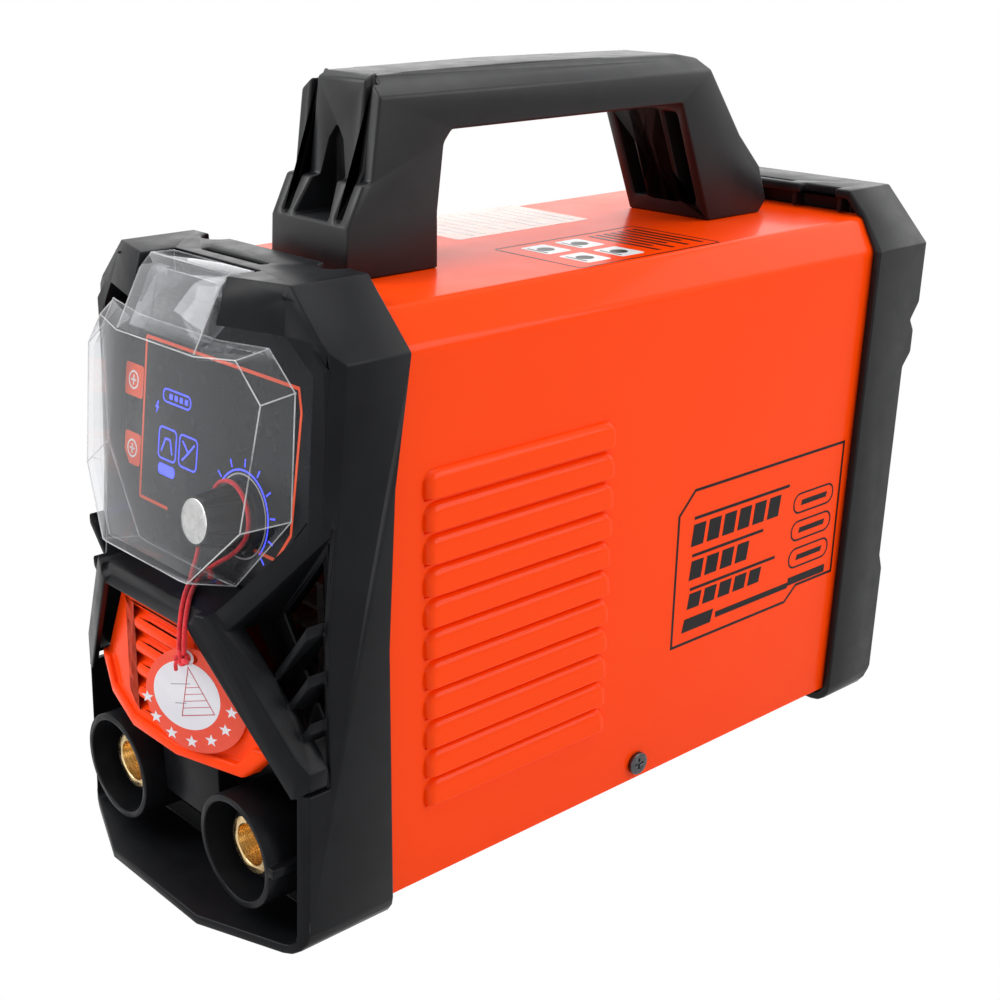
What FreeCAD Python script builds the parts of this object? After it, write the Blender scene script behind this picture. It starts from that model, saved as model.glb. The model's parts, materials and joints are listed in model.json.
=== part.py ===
import FreeCAD, Part
import math
import os

Vector = FreeCAD.Vector

# ---------------------------------------------------------------------------------------------
# Driving dimensions, in millimetres.  X is the width, -Y the front, Z up, Z = 0 the floor.
# ---------------------------------------------------------------------------------------------

# outer cover (folded steel sheet)
cover_length = 220.0          # visible length between the two frames
cover_width = 114.2
cover_top = 186.6             # height of its flat top above the floor
cover_bottom = 10.0           # height of its lower edges above the floor
cover_sheet = 1.2
shoulder_drop = 10.1          # the sloping shoulder falls this much ...
shoulder_inset = 9.1          # ... over this width
cover_tuck = 8.0              # how far the sheet runs on inside each frame

# louvres pressed in the cover's sides
louvre_count = 11
louvre_length = 76.5
louvre_height = 7.5
louvre_reach = 2.8            # how far a lip stands out of the sheet
louvre_sheet = 0.9            # sheet left after pressing
louvre_lip_height = 0.8       # upright edge at the bottom of a louvre
louvre_pitch = 9.77
louvre_low = 36.3             # height of the lowest louvre's lower edge
louvre_start = 15.0           # distance from the cover's front edge to the louvres

# frames (moulded shells at both ends)
frame_wall = 3.1
frame_bottom = 4.0
frame_rise = 8.4              # how far the frames' top stands above the cover
frame_corner = 7.5            # radius of the lower corners
frame_shoulder = 18.0         # height of the sloping upper corners
fit_gap = 0.3                 # clearance of parts that slip into each other

# front frame: how far its faces reach ahead of the cover's front edge
box_height = 57.0             # top of the open lower box
box_reach_low = 47.5
box_reach_high = 43.7
box_flat = 24.0               # half width of the flat middle of the front
box_side_reach_low = 32.0
box_side_reach_high = 29.5
box_bevel_width = 3.2         # bevel between the slanting front and the side
box_bevel_depth = 2.5
chin_low = 97.0
chin_high = 104.5
chin_reach = 42.0
chin_half = 24.0
chin_chamfer = 2.4
brow_height = 12.4            # height of the brow, down from the frame's top
brow_reach = 27.5
top_reach = 23.0
edge_reach_low = 22.5         # face band beside the pocket, at the chin's height
edge_reach_high = 16.2        # and at the brow's height
side_reach_low = 21.0         # front edge of the side wall, at the chin's height
side_reach_high = 12.3
face_bevel = 3.0              # the face is narrower than the frame by this much a side
plate_reach = 18.0            # front face of the wall that closes the machine
plate_wall = 2.5
socket_wall_reach = 20.0

# shield-shaped pocket for the control panel
pocket_side = 7.6             # from the frame's side to the pocket's side
pocket_corner = 9.0
pocket_diagonal_rise = 29.0   # the lower corners are cut off by this height
pocket_diagonal_run = 24.0
shield_wall = 6.0

# braces and vent slats
brace_width = 9.0
brace_depth = 9.0
brace_skin = 2.4              # the brace's inner half is only this thick
brace_rib = 3.2               # width of its deep outer half
slat_count = 3
slat_thickness = 2.2
slat_pitch = 14.5

# control panel
panel_reach_top = 10.6        # reach of the panel's face at the top of its tilt line
panel_tilt = 8.5              # degrees
panel_thickness = 2.0
overlay_thickness = 0.4
overlay_margin = 4.0

# clear cover
clear_wall = 1.8
clear_front_tilt = 8.4
clear_reach = 37.8            # reach of its outer face at mid height
clear_bulge_slope = 0.215     # how fast the outer face falls back beside its flat middle
clear_flat = 20.0
clear_rim_gap = 2.6           # between the clear cover's rim and the pocket
neck_half = 20.0
neck_gap = 1.6
hinge_reach = 17.0
hinge_drop = 5.2              # hinge axis below the frame's top
hinge_radius = 4.4
hinge_pin_radius = 1.5
hinge_pin_length = 9.0

# knob
knob_x = 15.5
knob_z = 125.0
knob_skirt_radius = 11.2
knob_body_radius = 9.4
knob_grip_radius = 7.2
knob_height = 16.0
knob_cap_radius = 6.6
knob_cap_thickness = 0.8
knob_flutes = 10
shaft_radius = 3.0
shaft_clearance = 0.05
pot_body_radius = 8.5
pot_body_depth = 8.0

# output sockets
socket_margin = 27.0          # socket centre to the frame's side
socket_height = 30.3
socket_bore_radius = 6.5
socket_brass_radius = 9.2
socket_ring_radius = 17.7
socket_ring_wall = 2.2
socket_reach = 38.3
socket_recess = 5.7
socket_bore_length = 22.0
socket_flange_radius = 16.0
socket_stud_radius = 4.0
socket_stud_length = 16.0
socket_nut_width = 13.0
socket_nut_height = 5.0
socket_key_width = 3.0        # small key beside the right socket's ring
socket_key_reach = 2.4
socket_web_reach = 31.0       # block between the two sockets, ahead of the cover's front edge
socket_web_low = 27.0

# orange insert between the braces
insert_corner = 11.0
insert_bottom = 55.0
insert_wall = 2.4
insert_lip = 4.0
insert_lip_reach = 2.6        # the lip stands this far ahead of the face
insert_rib_count = 5
insert_reach_top = 39.0
insert_reach_bottom = 39.8
insert_flat = 12.0            # half width of the flat middle of the face
insert_fall = 11.0            # how far the face falls back towards its sides
insert_side_back = 28.5       # the side walls end at this reach ...
insert_stem_half = 20.0       # ... and only the middle runs on to the wall behind

# rear frame: how far it reaches behind the cover's rear edge
rear_reach = 25.4
rear_reach_mid = 19.4
rear_foot_reach = 21.6
rear_front_low = 5.0          # its front edge lies this far ahead of the cover's rear edge
rear_panel_reach = 10.0
rear_panel_wall = 2.5

# handle
handle_half = 18.3
handle_front = 19.5           # from the cover's front edge to the handle's foot
handle_rear_margin = 13.0     # from the handle's rear foot to the cover's rear edge
handle_height = 55.5          # above the cover's top
grip_height = 39.5            # finger gap above the cover's top
handle_wall = 4.0

# fan, switch, gland
fan_size = 80.0
fan_depth = 25.0
fan_blades = 7
fan_hub_radius = 15.0
fan_height = 66.0
rocker_length = 22.0
rocker_width = 13.0
rocker_travel = 12.0          # degrees each side of level
switch_height = 146.0
switch_x = -24.0
gland_x = 24.0
gland_height = 146.0
gland_bore_radius = 5.0
gland_thread_radius = 10.0
earth_height = 19.5
earth_x = 44.0
earth_radius = 3.0

# feet
foot_radius = 8.0
foot_seat = 1.5

# screws
screw_radius = 2.0
screw_head_radius = 4.0
screw_head_height = 1.8

# inspection tag
tag_radius = 16.5
tag_thickness = 0.5
cord_radius = 0.7

# ---------------------------------------------------------------------------------------------
# Places worked out from the driving dimensions
# ---------------------------------------------------------------------------------------------
overall_depth = box_reach_low + cover_length + rear_reach
cover_front = -overall_depth / 2 + box_reach_low
cover_rear = cover_front + cover_length
cover_half = cover_width / 2
frame_half = cover_half + fit_gap + frame_wall
frame_top = cover_top + frame_rise
shoulder_low = cover_top - shoulder_drop
frame_shoulder_low = frame_top - frame_shoulder
inner_half = cover_half - cover_sheet - fit_gap
socket_x = frame_half - socket_margin
pocket_half = frame_half - pocket_side
pocket_top = frame_top - brow_height
hinge_y = cover_front - hinge_reach
hinge_z = frame_top - hinge_drop
big = 400.0


def fy(reach):
    """Y of a point that reaches this far ahead of the cover's front edge."""
    return cover_front - reach


def ry(reach):
    """Y of a point that reaches this far behind the cover's rear edge."""
    return cover_rear + reach


# ---------------------------------------------------------------------------------------------
# Helpers
# ---------------------------------------------------------------------------------------------
def box(x0, x1, y0, y1, z0, z1):
    return Part.makeBox(x1 - x0, y1 - y0, z1 - z0, Vector(x0, y0, z0))


def closed_wire(points):
    return Part.makePolygon([Vector(*p) for p in points] + [Vector(*points[0])])


def prism_xz(outline, y0, y1):
    """A front-view outline carried from y0 to y1."""
    face = Part.Face(closed_wire([(x, y0, z) for x, z in outline]))
    return face.extrude(Vector(0, y1 - y0, 0))


def prism_yz(outline, x0, x1):
    """A side-view outline carried from x0 to x1."""
    face = Part.Face(closed_wire([(x0, y, z) for y, z in outline]))
    return face.extrude(Vector(x1 - x0, 0, 0))


def prism_xy(outline, z0, z1):
    """A plan outline carried from z0 to z1."""
    face = Part.Face(closed_wire([(x, y, z0) for x, y in outline]))
    return face.extrude(Vector(0, 0, z1 - z0))


def both_sides(half):
    """A whole outline from its right half, which runs from the middle line back to it."""
    return half + [(-x, other) for x, other in reversed(half) if x > 0]


def plan_loft(sections):
    """Ruled solid through plan outlines, each a height and a list of (x, y)."""
    wires = [closed_wire([(x, y, z) for x, y in outline]) for z, outline in sections]
    solids = [Part.makeLoft(list(pair), True, True) for pair in zip(wires, wires[1:])]
    return fuse(solids)


def front_loft(outline0, y0, outline1, y1):
    wires = [
        closed_wire([(x, y0, z) for x, z in outline0]),
        closed_wire([(x, y1, z) for x, z in outline1]),
    ]
    return Part.makeLoft(wires, True, True)


def fuse(shapes):
    shapes = list(shapes)
    return shapes[0].multiFuse(shapes[1:]).removeSplitter() if len(shapes) > 1 else shapes[0]


def cylinder(x, y, z, radius, length, direction):
    return Part.makeCylinder(radius, length, Vector(x, y, z), Vector(*direction))


def tube(x, y, z, radius, bore, length, direction):
    return cylinder(x, y, z, radius, length, direction).cut(cylinder(x, y, z, bore, length, direction))


def hexagon(x, y, z, width, height, direction):
    """Hexagonal prism, its width across flats."""
    corner = width / math.sqrt(3)
    angles = [math.radians(60 * i) for i in range(6)]
    points = [(corner * math.cos(angle), corner * math.sin(angle), 0) for angle in angles]
    solid = Part.Face(closed_wire(points)).extrude(Vector(0, 0, height))
    solid.Placement = FreeCAD.Placement(
        Vector(x, y, z), FreeCAD.Rotation(Vector(0, 0, 1), Vector(*direction))
    )
    return solid


def mirrored(shape):
    return shape.mirror(Vector(0, 0, 0), Vector(1, 0, 0))


def two(shape):
    """A shape and its mirror image on the other side."""
    return [shape, mirrored(shape)]


def save(name, shapes):
    shapes = shapes if isinstance(shapes, list) else [shapes]
    solids = [solid for shape in shapes for solid in shape.Solids]
    for solid in solids:
        if not solid.isValid() or solid.Volume <= 0:
            raise ValueError(name + " holds a solid that is not valid")
    out = solids[0] if len(solids) == 1 else Part.makeCompound(solids)
    out.exportStep("parts/" + name + ".step")
    print(name, len(solids), "solids", round(sum(s.Volume for s in solids)), "mm3")


# ---------------------------------------------------------------------------------------------
# Outlines shared by several pieces
# ---------------------------------------------------------------------------------------------
def cover_outline(shrink):
    """Half front view of the cover, this far inside its outer face."""
    slope = math.atan2(shoulder_drop, shoulder_inset)
    turn = shrink * math.tan((math.pi / 2 - slope) / 2)
    top_turn = shrink * math.tan(slope / 2)
    return [
        (0, cover_top - shrink),
        (cover_half - shoulder_inset - top_turn, cover_top - shrink),
        (cover_half - shrink, shoulder_low - turn),
    ]


def frame_outline(shrink):
    """Half front view of a frame, this far inside its outer face, its lower corner rounded."""
    side = frame_half - shrink
    low = frame_bottom + shrink
    radius = frame_corner - min(shrink, frame_corner - 1)
    slope = math.radians(45)
    turn = shrink * math.tan(slope / 2)
    corner = []
    for step in range(5):
        angle = math.radians(90 * step / 4)
        corner.append((side - radius + radius * math.cos(angle), low + radius - radius * math.sin(angle)))
    return [
        (0, frame_top - shrink),
        (frame_half - frame_shoulder - turn, frame_top - shrink),
        (side, frame_shoulder_low - turn),
    ] + corner + [(0, low)]


def collar(y0, y1):
    """Band of the frames' outline, one wall thick."""
    outer = prism_xz(both_sides(frame_outline(0)), y0, y1)
    return outer.cut(prism_xz(both_sides(frame_outline(frame_wall)), y0 - 1, y1 + 1))


# ---------------------------------------------------------------------------------------------
# Outer cover
# ---------------------------------------------------------------------------------------------
def louvre_low_edge(index):
    return louvre_low + index * louvre_pitch


def louvre_lip(index):
    """Pressed lip: a sloping roof with closed ends, open along its lower edge."""
    low = louvre_low_edge(index)
    start = cover_front + louvre_start
    outline = [(cover_half - cover_sheet, low + louvre_height), (cover_half, low + louvre_height),
               (cover_half + louvre_reach, low + louvre_lip_height), (cover_half + louvre_reach, low),
               (cover_half - cover_sheet, low)]
    outer = prism_xz(outline, start, start + louvre_length)
    inner = prism_xz([(x - louvre_sheet, z - louvre_sheet) for x, z in outline], start + louvre_sheet,
                     start + louvre_length - louvre_sheet)
    return outer, inner


def outer_cover():
    y0, y1 = cover_front - cover_tuck, cover_rear + cover_tuck
    outer = cover_outline(0) + [(cover_half, cover_bottom), (0, cover_bottom)]
    inner = cover_outline(cover_sheet) + [(cover_half - cover_sheet, cover_bottom - 1), (0, cover_bottom - 1)]
    shell = prism_xz(both_sides(outer), y0, y1).cut(prism_xz(both_sides(inner), y0 - 1, y1 + 1))
    lips = [louvre_lip(i) for i in range(louvre_count)]
    shell = fuse([shell] + [s for lip in lips for s in two(lip[0])])
    holes = [s for lip in lips for s in two(lip[1])]
    screw_y = (cover_front + cover_rear) / 2
    for side in (-1, 1):
        holes.append(cylinder(0, screw_y, cover_screw_z, screw_radius + 0.2, big, (side, 0, 0)))
    for x, y in handle_screw_places():
        holes.append(cylinder(x, y, cover_top - 10, screw_radius + 0.2, 20, (0, 0, 1)))
    return shell.cut(Part.makeCompound(holes))


# ---------------------------------------------------------------------------------------------
# Base tray
# ---------------------------------------------------------------------------------------------
tray_sheet = 1.5
tray_flange = 18.0
tray_bottom = cover_bottom
cover_screw_z = tray_bottom + 6.0


def tray_ends():
    return fy(plate_reach - plate_wall - fit_gap), ry(cover_tuck)


def base_tray():
    y0, y1 = tray_ends()
    tray = box(-inner_half, inner_half, y0, y1, tray_bottom, tray_bottom + tray_flange)
    tray = tray.cut(box(-inner_half + tray_sheet, inner_half - tray_sheet, y0 - 1, y1 + 1,
                        tray_bottom + tray_sheet, tray_bottom + tray_flange + 1))
    holes = [cylinder(-big / 2, (cover_front + cover_rear) / 2, cover_screw_z, screw_radius, big, (1, 0, 0))]
    slot_count = 8
    for row in range(slot_count):
        y = cover_front + cover_length * (row + 1) / (slot_count + 1)
        if abs(y) > 8:
            holes.append(box(-inner_half * 0.45, inner_half * 0.45, y - 1.5, y + 1.5, 0, tray_bottom + 3))
    for x, y in frame_screw_places(cover_front + 1) + frame_screw_places(cover_rear - 1):
        holes.append(cylinder(x, y, 0, screw_radius, 30, (0, 0, 1)))
    return tray.cut(Part.makeCompound(holes))


# ---------------------------------------------------------------------------------------------
# Front frame
# ---------------------------------------------------------------------------------------------
def section(flat, mid, face, face_reach, side, side_reach, back):
    """Plan outline of a faceted front: flat middle, slanting face, bevel, side."""
    half = [(0, fy(mid)), (flat, fy(mid)), (face, fy(face_reach)), (side, fy(side_reach)), (side, fy(back))]
    return half + [(-x, y) for x, y in reversed(half) if x > 0]


def upper_envelope():
    face = frame_half - face_bevel
    levels = [
        (box_height, chin_half, chin_reach + 4, edge_reach_low + 2, side_reach_low + 1),
        (chin_low, chin_half, chin_reach, edge_reach_low, side_reach_low),
        (pocket_top, neck_half, brow_reach, edge_reach_high, side_reach_high),
        (frame_top, neck_half, top_reach, edge_reach_high - 4, side_reach_high),
    ]
    return plan_loft([(z, section(flat, mid, face, edge, frame_half, side, -12))
                      for z, flat, mid, edge, side in levels])


def lower_envelope(inset=0.0):
    """Solid behind the lower front; an inset one lies this far behind it and has no bevel."""
    levels = [(0, box_reach_low, box_side_reach_low), (box_height, box_reach_high, box_side_reach_high),
              (pocket_top, box_reach_high - 4, box_side_reach_high - 4)]
    bevel = box_bevel_depth if inset == 0 else 0
    sections = []
    for z, mid, side in levels:
        face = side + box_bevel_depth - inset
        sections.append((z, section(box_flat, mid - inset, frame_half - box_bevel_width, face, frame_half,
                                    face - bevel, -12)))
    return plan_loft(sections)


def diagonal_x(z, grow):
    """X of the pocket's slanting lower side at this height, moved outward by grow."""
    length = math.hypot(pocket_diagonal_run, pocket_diagonal_rise)
    foot = pocket_half - pocket_diagonal_run + grow * length / pocket_diagonal_rise
    return foot + (z - chin_high) * pocket_diagonal_run / pocket_diagonal_rise


def diagonal_z(x, grow):
    """Height at which that slanting side reaches this x."""
    return chin_high + (x - diagonal_x(chin_high, grow)) * pocket_diagonal_rise / pocket_diagonal_run


def shield_outline(grow):
    """Half front view of the pocket, grown by this much."""
    half, top, low = pocket_half + grow, pocket_top + grow, chin_high - grow
    corner = pocket_corner + grow * (2 - math.sqrt(2))
    return [
        (0, top), (half - corner, top), (half, top - corner), (half, diagonal_z(half, grow)),
        (diagonal_x(low, grow), low), (0, low),
    ]


def brace_line(t, offset):
    """Point of a brace's centre line, t from the chin to the box, moved sideways by offset."""
    x0, z0 = chin_half + 3.5, (chin_low + chin_high) / 2
    x1, z1 = frame_half - 3.5, box_height + 4
    length = math.hypot(x1 - x0, z1 - z0)
    return (x0 + t * (x1 - x0) + offset * (z0 - z1) / length, z0 + t * (z1 - z0) + offset * (x1 - x0) / length)


def brace():
    half = brace_width / 2
    outline = [brace_line(-0.12, -half), brace_line(-0.12, half), brace_line(1.08, half), brace_line(1.08, -half)]
    front = prism_xz(outline, fy(box_reach_low), fy(box_side_reach_high - brace_depth - 4))
    inner = [brace_line(-0.2, -half - 1), brace_line(-0.2, half - brace_rib), brace_line(1.2, half - brace_rib),
             brace_line(1.2, -half - 1)]
    hollow = prism_xz(inner, fy(60), fy(0)).common(lower_envelope(brace_skin))
    return front.common(lower_envelope()).cut(lower_envelope(brace_depth)).cut(hollow)


def slats():
    """Slats of the side vents, parallel to the pocket's cut corner."""
    run, rise = pocket_diagonal_run, pocket_diagonal_rise
    length = math.hypot(run, rise)
    along, across = (run / length, rise / length), (rise / length, -run / length)
    top_x = frame_half - 1.0
    out = []
    for index in range(slat_count):
        top_z = chin_high + pocket_diagonal_rise - 10 - slat_pitch * (index + 1)
        reach = 60 - 13 * index
        end_x, end_z = top_x - along[0] * reach, top_z - along[1] * reach
        step_x, step_z = across[0] * slat_thickness, across[1] * slat_thickness
        outline = [(top_x, top_z), (end_x, end_z), (end_x + step_x, end_z + step_z),
                   (top_x + step_x, top_z + step_z)]
        out.append(prism_xz(outline, fy(plate_reach + 9), fy(plate_reach - 0.5)))
    return out


def vent_outline(shrink):
    """Triangle between a brace, the pocket's cut corner and the side wall."""
    half = brace_width / 2
    x0, z0 = brace_line(0.08, half + shrink)
    x1, z1 = brace_line(1.0, half + shrink)
    side = frame_half - frame_wall - shrink
    z_side = z1 + (x1 - side) * 0.9
    top = diagonal_z(side, shield_wall + shrink)
    return [(x0, z0), (side, z_side), (side, top)]


def side_profile():
    """Side view of the front frame's outer band."""
    return [
        (fy(0), frame_bottom - 1), (fy(0), cover_top / 2), (fy(-2.7), cover_top * 0.75),
        (fy(-8.7), shoulder_low), (fy(-8.7), frame_top + 1),
        (fy(side_reach_high), frame_top + 1), (fy(side_reach_high), frame_shoulder_low),
        (fy(side_reach_low), chin_high), (fy(side_reach_low + 1), box_height),
        (fy(box_side_reach_high), box_height), (fy(box_side_reach_low), frame_bottom - 1),
    ]


def cover_room(y0, y1):
    """Space that the cover's sheet and all within it need inside a frame."""
    room = cover_outline(-fit_gap) + [(cover_half + fit_gap, cover_bottom - fit_gap), (0, cover_bottom - fit_gap)]
    return prism_xz(both_sides(room), y0, y1)


def inner_ring(y0, y1):
    """Flange of a frame that the cover's sheet slips over."""
    low = tray_bottom + tray_flange + fit_gap
    outer = cover_outline(cover_sheet + fit_gap) + [(inner_half, low), (0, low)]
    inner = cover_outline(cover_sheet + fit_gap + 2) + [(inner_half - 2, low - 1), (0, low - 1)]
    return prism_xz(both_sides(outer), y0, y1).cut(prism_xz(both_sides(inner), y0 - 1, y1 + 1))


def chin_chamfer_cut():
    """Chamfer along the chin's upper front edge."""
    low, high = chin_high - chin_chamfer, chin_high
    front = fy(chin_reach - 0.9)
    return prism_yz([(front - 2, low - 2), (front + chin_chamfer + 1, high + 1), (front - 2, high + 1)],
                    -chin_half - 1, chin_half + 1)


def socket_web():
    """Block that fills the gap between the two sockets' rings."""
    block = box(-socket_x, socket_x, fy(socket_web_reach), fy(plate_reach), socket_web_low,
                box_height - frame_wall)
    rings = [cylinder(x, fy(socket_reach), socket_height, socket_ring_radius + fit_gap, 60, (0, 1, 0))
             for x in (-socket_x, socket_x)]
    block = block.cut(Part.makeCompound(rings))
    return block.common(box(-socket_x + socket_ring_radius, socket_x - socket_ring_radius, -big, big, 0, big))


def hinge_bay():
    """Room in the brow for the clear cover's neck, and for its heel as it swings."""
    half = neck_half + neck_gap
    heel = hinge_radius + 3.2
    bay = box(-half, half, fy(60), hinge_y, pocket_top - 8, frame_top + 5)
    return [bay, cylinder(-half, hinge_y, hinge_z, heel, 2 * half, (1, 0, 0))]


def front_frame():
    whole = both_sides(frame_outline(0))
    inside = both_sides(frame_outline(frame_wall))
    band = collar(fy(60), fy(-12)).common(prism_yz(side_profile(), -big, big))
    # open lower box
    low_box = prism_xz(whole, fy(60), fy(plate_reach - plate_wall)).common(lower_envelope())
    low_box = low_box.common(box(-big, big, -big, big, 0, box_height))
    low_box = low_box.cut(prism_xz(inside, fy(60), fy(socket_wall_reach)))
    # wall that closes the machine
    plate = prism_xz(inside, fy(plate_reach), fy(plate_reach - plate_wall))
    # pocket for the panel, with its brow
    shield = prism_xz(both_sides(shield_outline(shield_wall)), fy(60), fy(plate_reach - plate_wall - 4))
    band_low = chin_high + pocket_diagonal_rise
    brow = prism_xz(both_sides([(0, frame_top), (frame_half - frame_shoulder, frame_top),
                                (frame_half, frame_shoulder_low), (frame_half, band_low), (0, band_low)]),
                    fy(60), fy(cover_tuck + fit_gap))
    upper = shield.fuse(brow).common(upper_envelope()).common(prism_xz(whole, fy(70), fy(-20)))
    body = fuse([band, low_box, plate, upper, socket_web(), brace(), mirrored(brace())])
    cuts = hinge_bay()
    cuts.append(box(-15, 15, fy(6.5), fy(4), frame_top - 1.6, frame_top + 1))
    for x in (-socket_x, socket_x):
        cuts.append(cylinder(x, fy(30), socket_height, socket_flange_radius - 4, 40, (0, 1, 0)))
        cuts.append(cylinder(x * 0.85, fy(-8.7), frame_top - 6, 5.5, 10, (0, 0, 1)))
    cuts.append(prism_xz(both_sides(shield_outline(0)), fy(70), fy(0)))
    vent_top, vent_low = insert_half(chin_low) - 5, insert_low_half() - 6
    cuts.append(prism_xz(both_sides([(0, chin_low - 1), (vent_top, chin_low - 1), (vent_low, insert_bottom + 12),
                                     (vent_low, insert_bottom + 6), (0, insert_bottom + 6)]),
                         fy(plate_reach + 1), fy(0)))
    vent = prism_xz(vent_outline(2.0), fy(plate_reach + 1), fy(0))
    cuts += two(vent)
    for x, y in frame_screw_places(cover_front + 1):
        cuts.append(cylinder(x, y, 0, screw_radius + 0.2, 20, (0, 0, 1)))
    for x, y in foot_places()[:2]:
        cuts.append(cylinder(x, y, 0, foot_radius, frame_bottom + foot_seat, (0, 0, 1)))
    cuts.append(cover_room(fy(cover_tuck + fit_gap), fy(-20)))
    cuts.append(chin_chamfer_cut())
    body = body.cut(Part.makeCompound(cuts))
    # slats run from the brace to the side wall
    window = prism_xz(vent_outline(-1.0), fy(60), fy(0))
    bars = [bar.common(window) for bar in slats()]
    seat = tray_seat(fy(plate_reach - plate_wall), fy(-6))
    for x, y in frame_screw_places(cover_front + 1):
        seat = seat.cut(cylinder(x, y, 0, screw_radius + 0.2, 20, (0, 0, 1)))
    bars = [side for bar in bars for side in two(bar)]
    body = fuse([body, seat, inner_ring(fy(plate_reach - 0.5), fy(-cover_tuck))] + bars)
    pins = [cylinder(side * (neck_half + neck_gap - 1), hinge_y, hinge_z, hinge_pin_radius, hinge_pin_length,
                     (side, 0, 0)) for side in (-1, 1)]
    return body.cut(Part.makeCompound(pins + hinge_bay()))


# ---------------------------------------------------------------------------------------------
# Orange insert between the braces
# ---------------------------------------------------------------------------------------------
def insert_half(z):
    """Half width of the space between the braces at this height, less a fit gap."""
    offset = -brace_width / 2 - fit_gap
    x0, z0 = brace_line(0, offset)
    x1, z1 = brace_line(1, offset)
    return x0 + (z - z0) * (x1 - x0) / (z1 - z0)


def insert_low_half():
    return insert_half(insert_bottom + insert_corner)


def insert_outline(shrink):
    top = chin_low - 0.5 - shrink
    low = insert_bottom + shrink
    low_half = insert_low_half()
    return [
        (0, top), (insert_half(chin_low - 0.5) - shrink, top),
        (low_half - shrink, low + insert_corner), (low_half - insert_corner - shrink * 0.5, low),
        (0, low),
    ]


def insert_front(forward):
    """Solid behind the insert's leaning, slightly bowed face, moved forward by this much."""
    levels = []
    side = insert_low_half() + 4
    for z, reach in ((insert_bottom - 5, insert_reach_bottom + 0.6), (chin_low + 3, insert_reach_top)):
        mid, edge = fy(reach + forward), fy(reach + forward - insert_fall)
        levels.append((z, [(insert_flat, mid), (side, edge), (side, fy(5)), (-side, fy(5)), (-side, edge),
                           (-insert_flat, mid)]))
    return plan_loft(levels)


def front_insert():
    """Ribbed cap: a shallow open-backed shell with a rolled lip along its lower edges."""
    back = fy(socket_wall_reach + fit_gap)
    solid = prism_xz(both_sides(insert_outline(0)), fy(60), back).common(insert_front(0))
    lip = prism_xz(both_sides(insert_outline(0)), fy(60), back)
    lip = lip.cut(prism_xz(both_sides(insert_outline(insert_lip)), fy(70), fy(0)))
    lip = lip.common(box(-big, big, -big, big, 0, insert_bottom + insert_corner))
    lip = lip.common(insert_front(insert_lip_reach))
    hollow = prism_xz(both_sides(insert_outline(insert_wall)), fy(60), fy(plate_reach - 1))
    hollow = hollow.common(insert_front(-insert_wall))
    pitch = (chin_low - insert_bottom - insert_lip) / insert_rib_count
    slope = (insert_reach_top - insert_reach_bottom) / (chin_low - insert_bottom)
    grooves = []
    for index in range(insert_rib_count):
        z = insert_bottom + insert_lip + pitch * (index + 0.45)
        reach = insert_reach_bottom + (z - insert_bottom) * slope
        outline = [(fy(reach + 2), z - 3.2), (fy(reach + 2), z + 3.2), (fy(reach - 1.4), z + 0.8),
                   (fy(reach - 1.4), z - 1.4)]
        grooves.append(prism_yz(outline, -insert_low_half() * 0.72, insert_low_half() * 0.72))
    shell = solid.cut(Part.makeCompound(grooves)).fuse(lip).removeSplitter().cut(hollow)
    behind = box(insert_stem_half, frame_half, fy(insert_side_back), fy(0), 0, chin_low)
    return shell.cut(Part.makeCompound(two(behind)))


# ---------------------------------------------------------------------------------------------
# Control panel
# ---------------------------------------------------------------------------------------------
tilt_line_z = frame_top - 25.0


def panel_y(z, offset=0.0):
    """Y of the panel's tilted face at this height, moved forward by offset."""
    lean = math.radians(panel_tilt)
    return fy(panel_reach_top + (tilt_line_z - z) * math.tan(lean) + offset / math.cos(lean))


def tilted_slab(outline, back, front):
    """Part of an outline between two planes parallel to the panel's face."""
    low, high = 0.0, frame_top + 10
    slab = prism_yz([(panel_y(low, back), low), (panel_y(low, front), low),
                     (panel_y(high, front), high), (panel_y(high, back), high)], -big, big)
    return prism_xz(outline, fy(80), fy(-60)).common(slab)


def panel_normal():
    return (0, -math.cos(math.radians(panel_tilt)), math.sin(math.radians(panel_tilt)))


def on_panel(x, z, offset):
    """Point this far in front of the panel, on the line that meets its face at x, z."""
    normal = panel_normal()
    return (x, panel_y(z) + normal[1] * offset, z + normal[2] * offset)


def control_panel():
    plate = tilted_slab(both_sides(shield_outline(-fit_gap)), -panel_thickness, 0)
    normal = panel_normal()
    back = on_panel(knob_x, knob_z, -20)
    window = tilted_slab([(-30, tilt_line_z - 40), (-4, tilt_line_z - 40), (-4, tilt_line_z - 10),
                          (-30, tilt_line_z - 10)], -10, 10)
    plate = plate.cut(cylinder(*back, shaft_radius + 0.6, 40, normal)).cut(window)
    ledge = tilted_slab(both_sides(shield_outline(-fit_gap)), -panel_thickness - 3, -panel_thickness)
    ledge = ledge.cut(tilted_slab(both_sides(shield_outline(-3.5)), -20, 20))
    return plate.fuse(ledge).removeSplitter()


def panel_overlay():
    sheet = tilted_slab(both_sides(shield_outline(-overlay_margin)), 0, overlay_thickness)
    back = on_panel(knob_x, knob_z, -20)
    return sheet.cut(cylinder(*back, shaft_radius + 1.0, 40, panel_normal()))


def display_module():
    """Lit display behind the panel's window."""
    outline = [(-29.7, tilt_line_z - 39.7), (-4.3, tilt_line_z - 39.7), (-4.3, tilt_line_z - 10.3),
               (-29.7, tilt_line_z - 10.3)]
    return tilted_slab(outline, -board_offset, -0.02)


board_offset = 10.0
board_thickness = 1.6


def control_board():
    outline = [(-34, chin_high + 8), (34, chin_high + 8), (34, pocket_top - 14), (-34, pocket_top - 14)]
    board = tilted_slab(outline, -board_offset - board_thickness, -board_offset)
    posts = []
    for x in (-26.0, 26.0):
        for z in (chin_high + 12, pocket_top - 17):
            posts.append(cylinder(*on_panel(x, z, -board_offset), 2.2, board_offset - panel_thickness,
                                  panel_normal()))
    return board, posts


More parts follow.
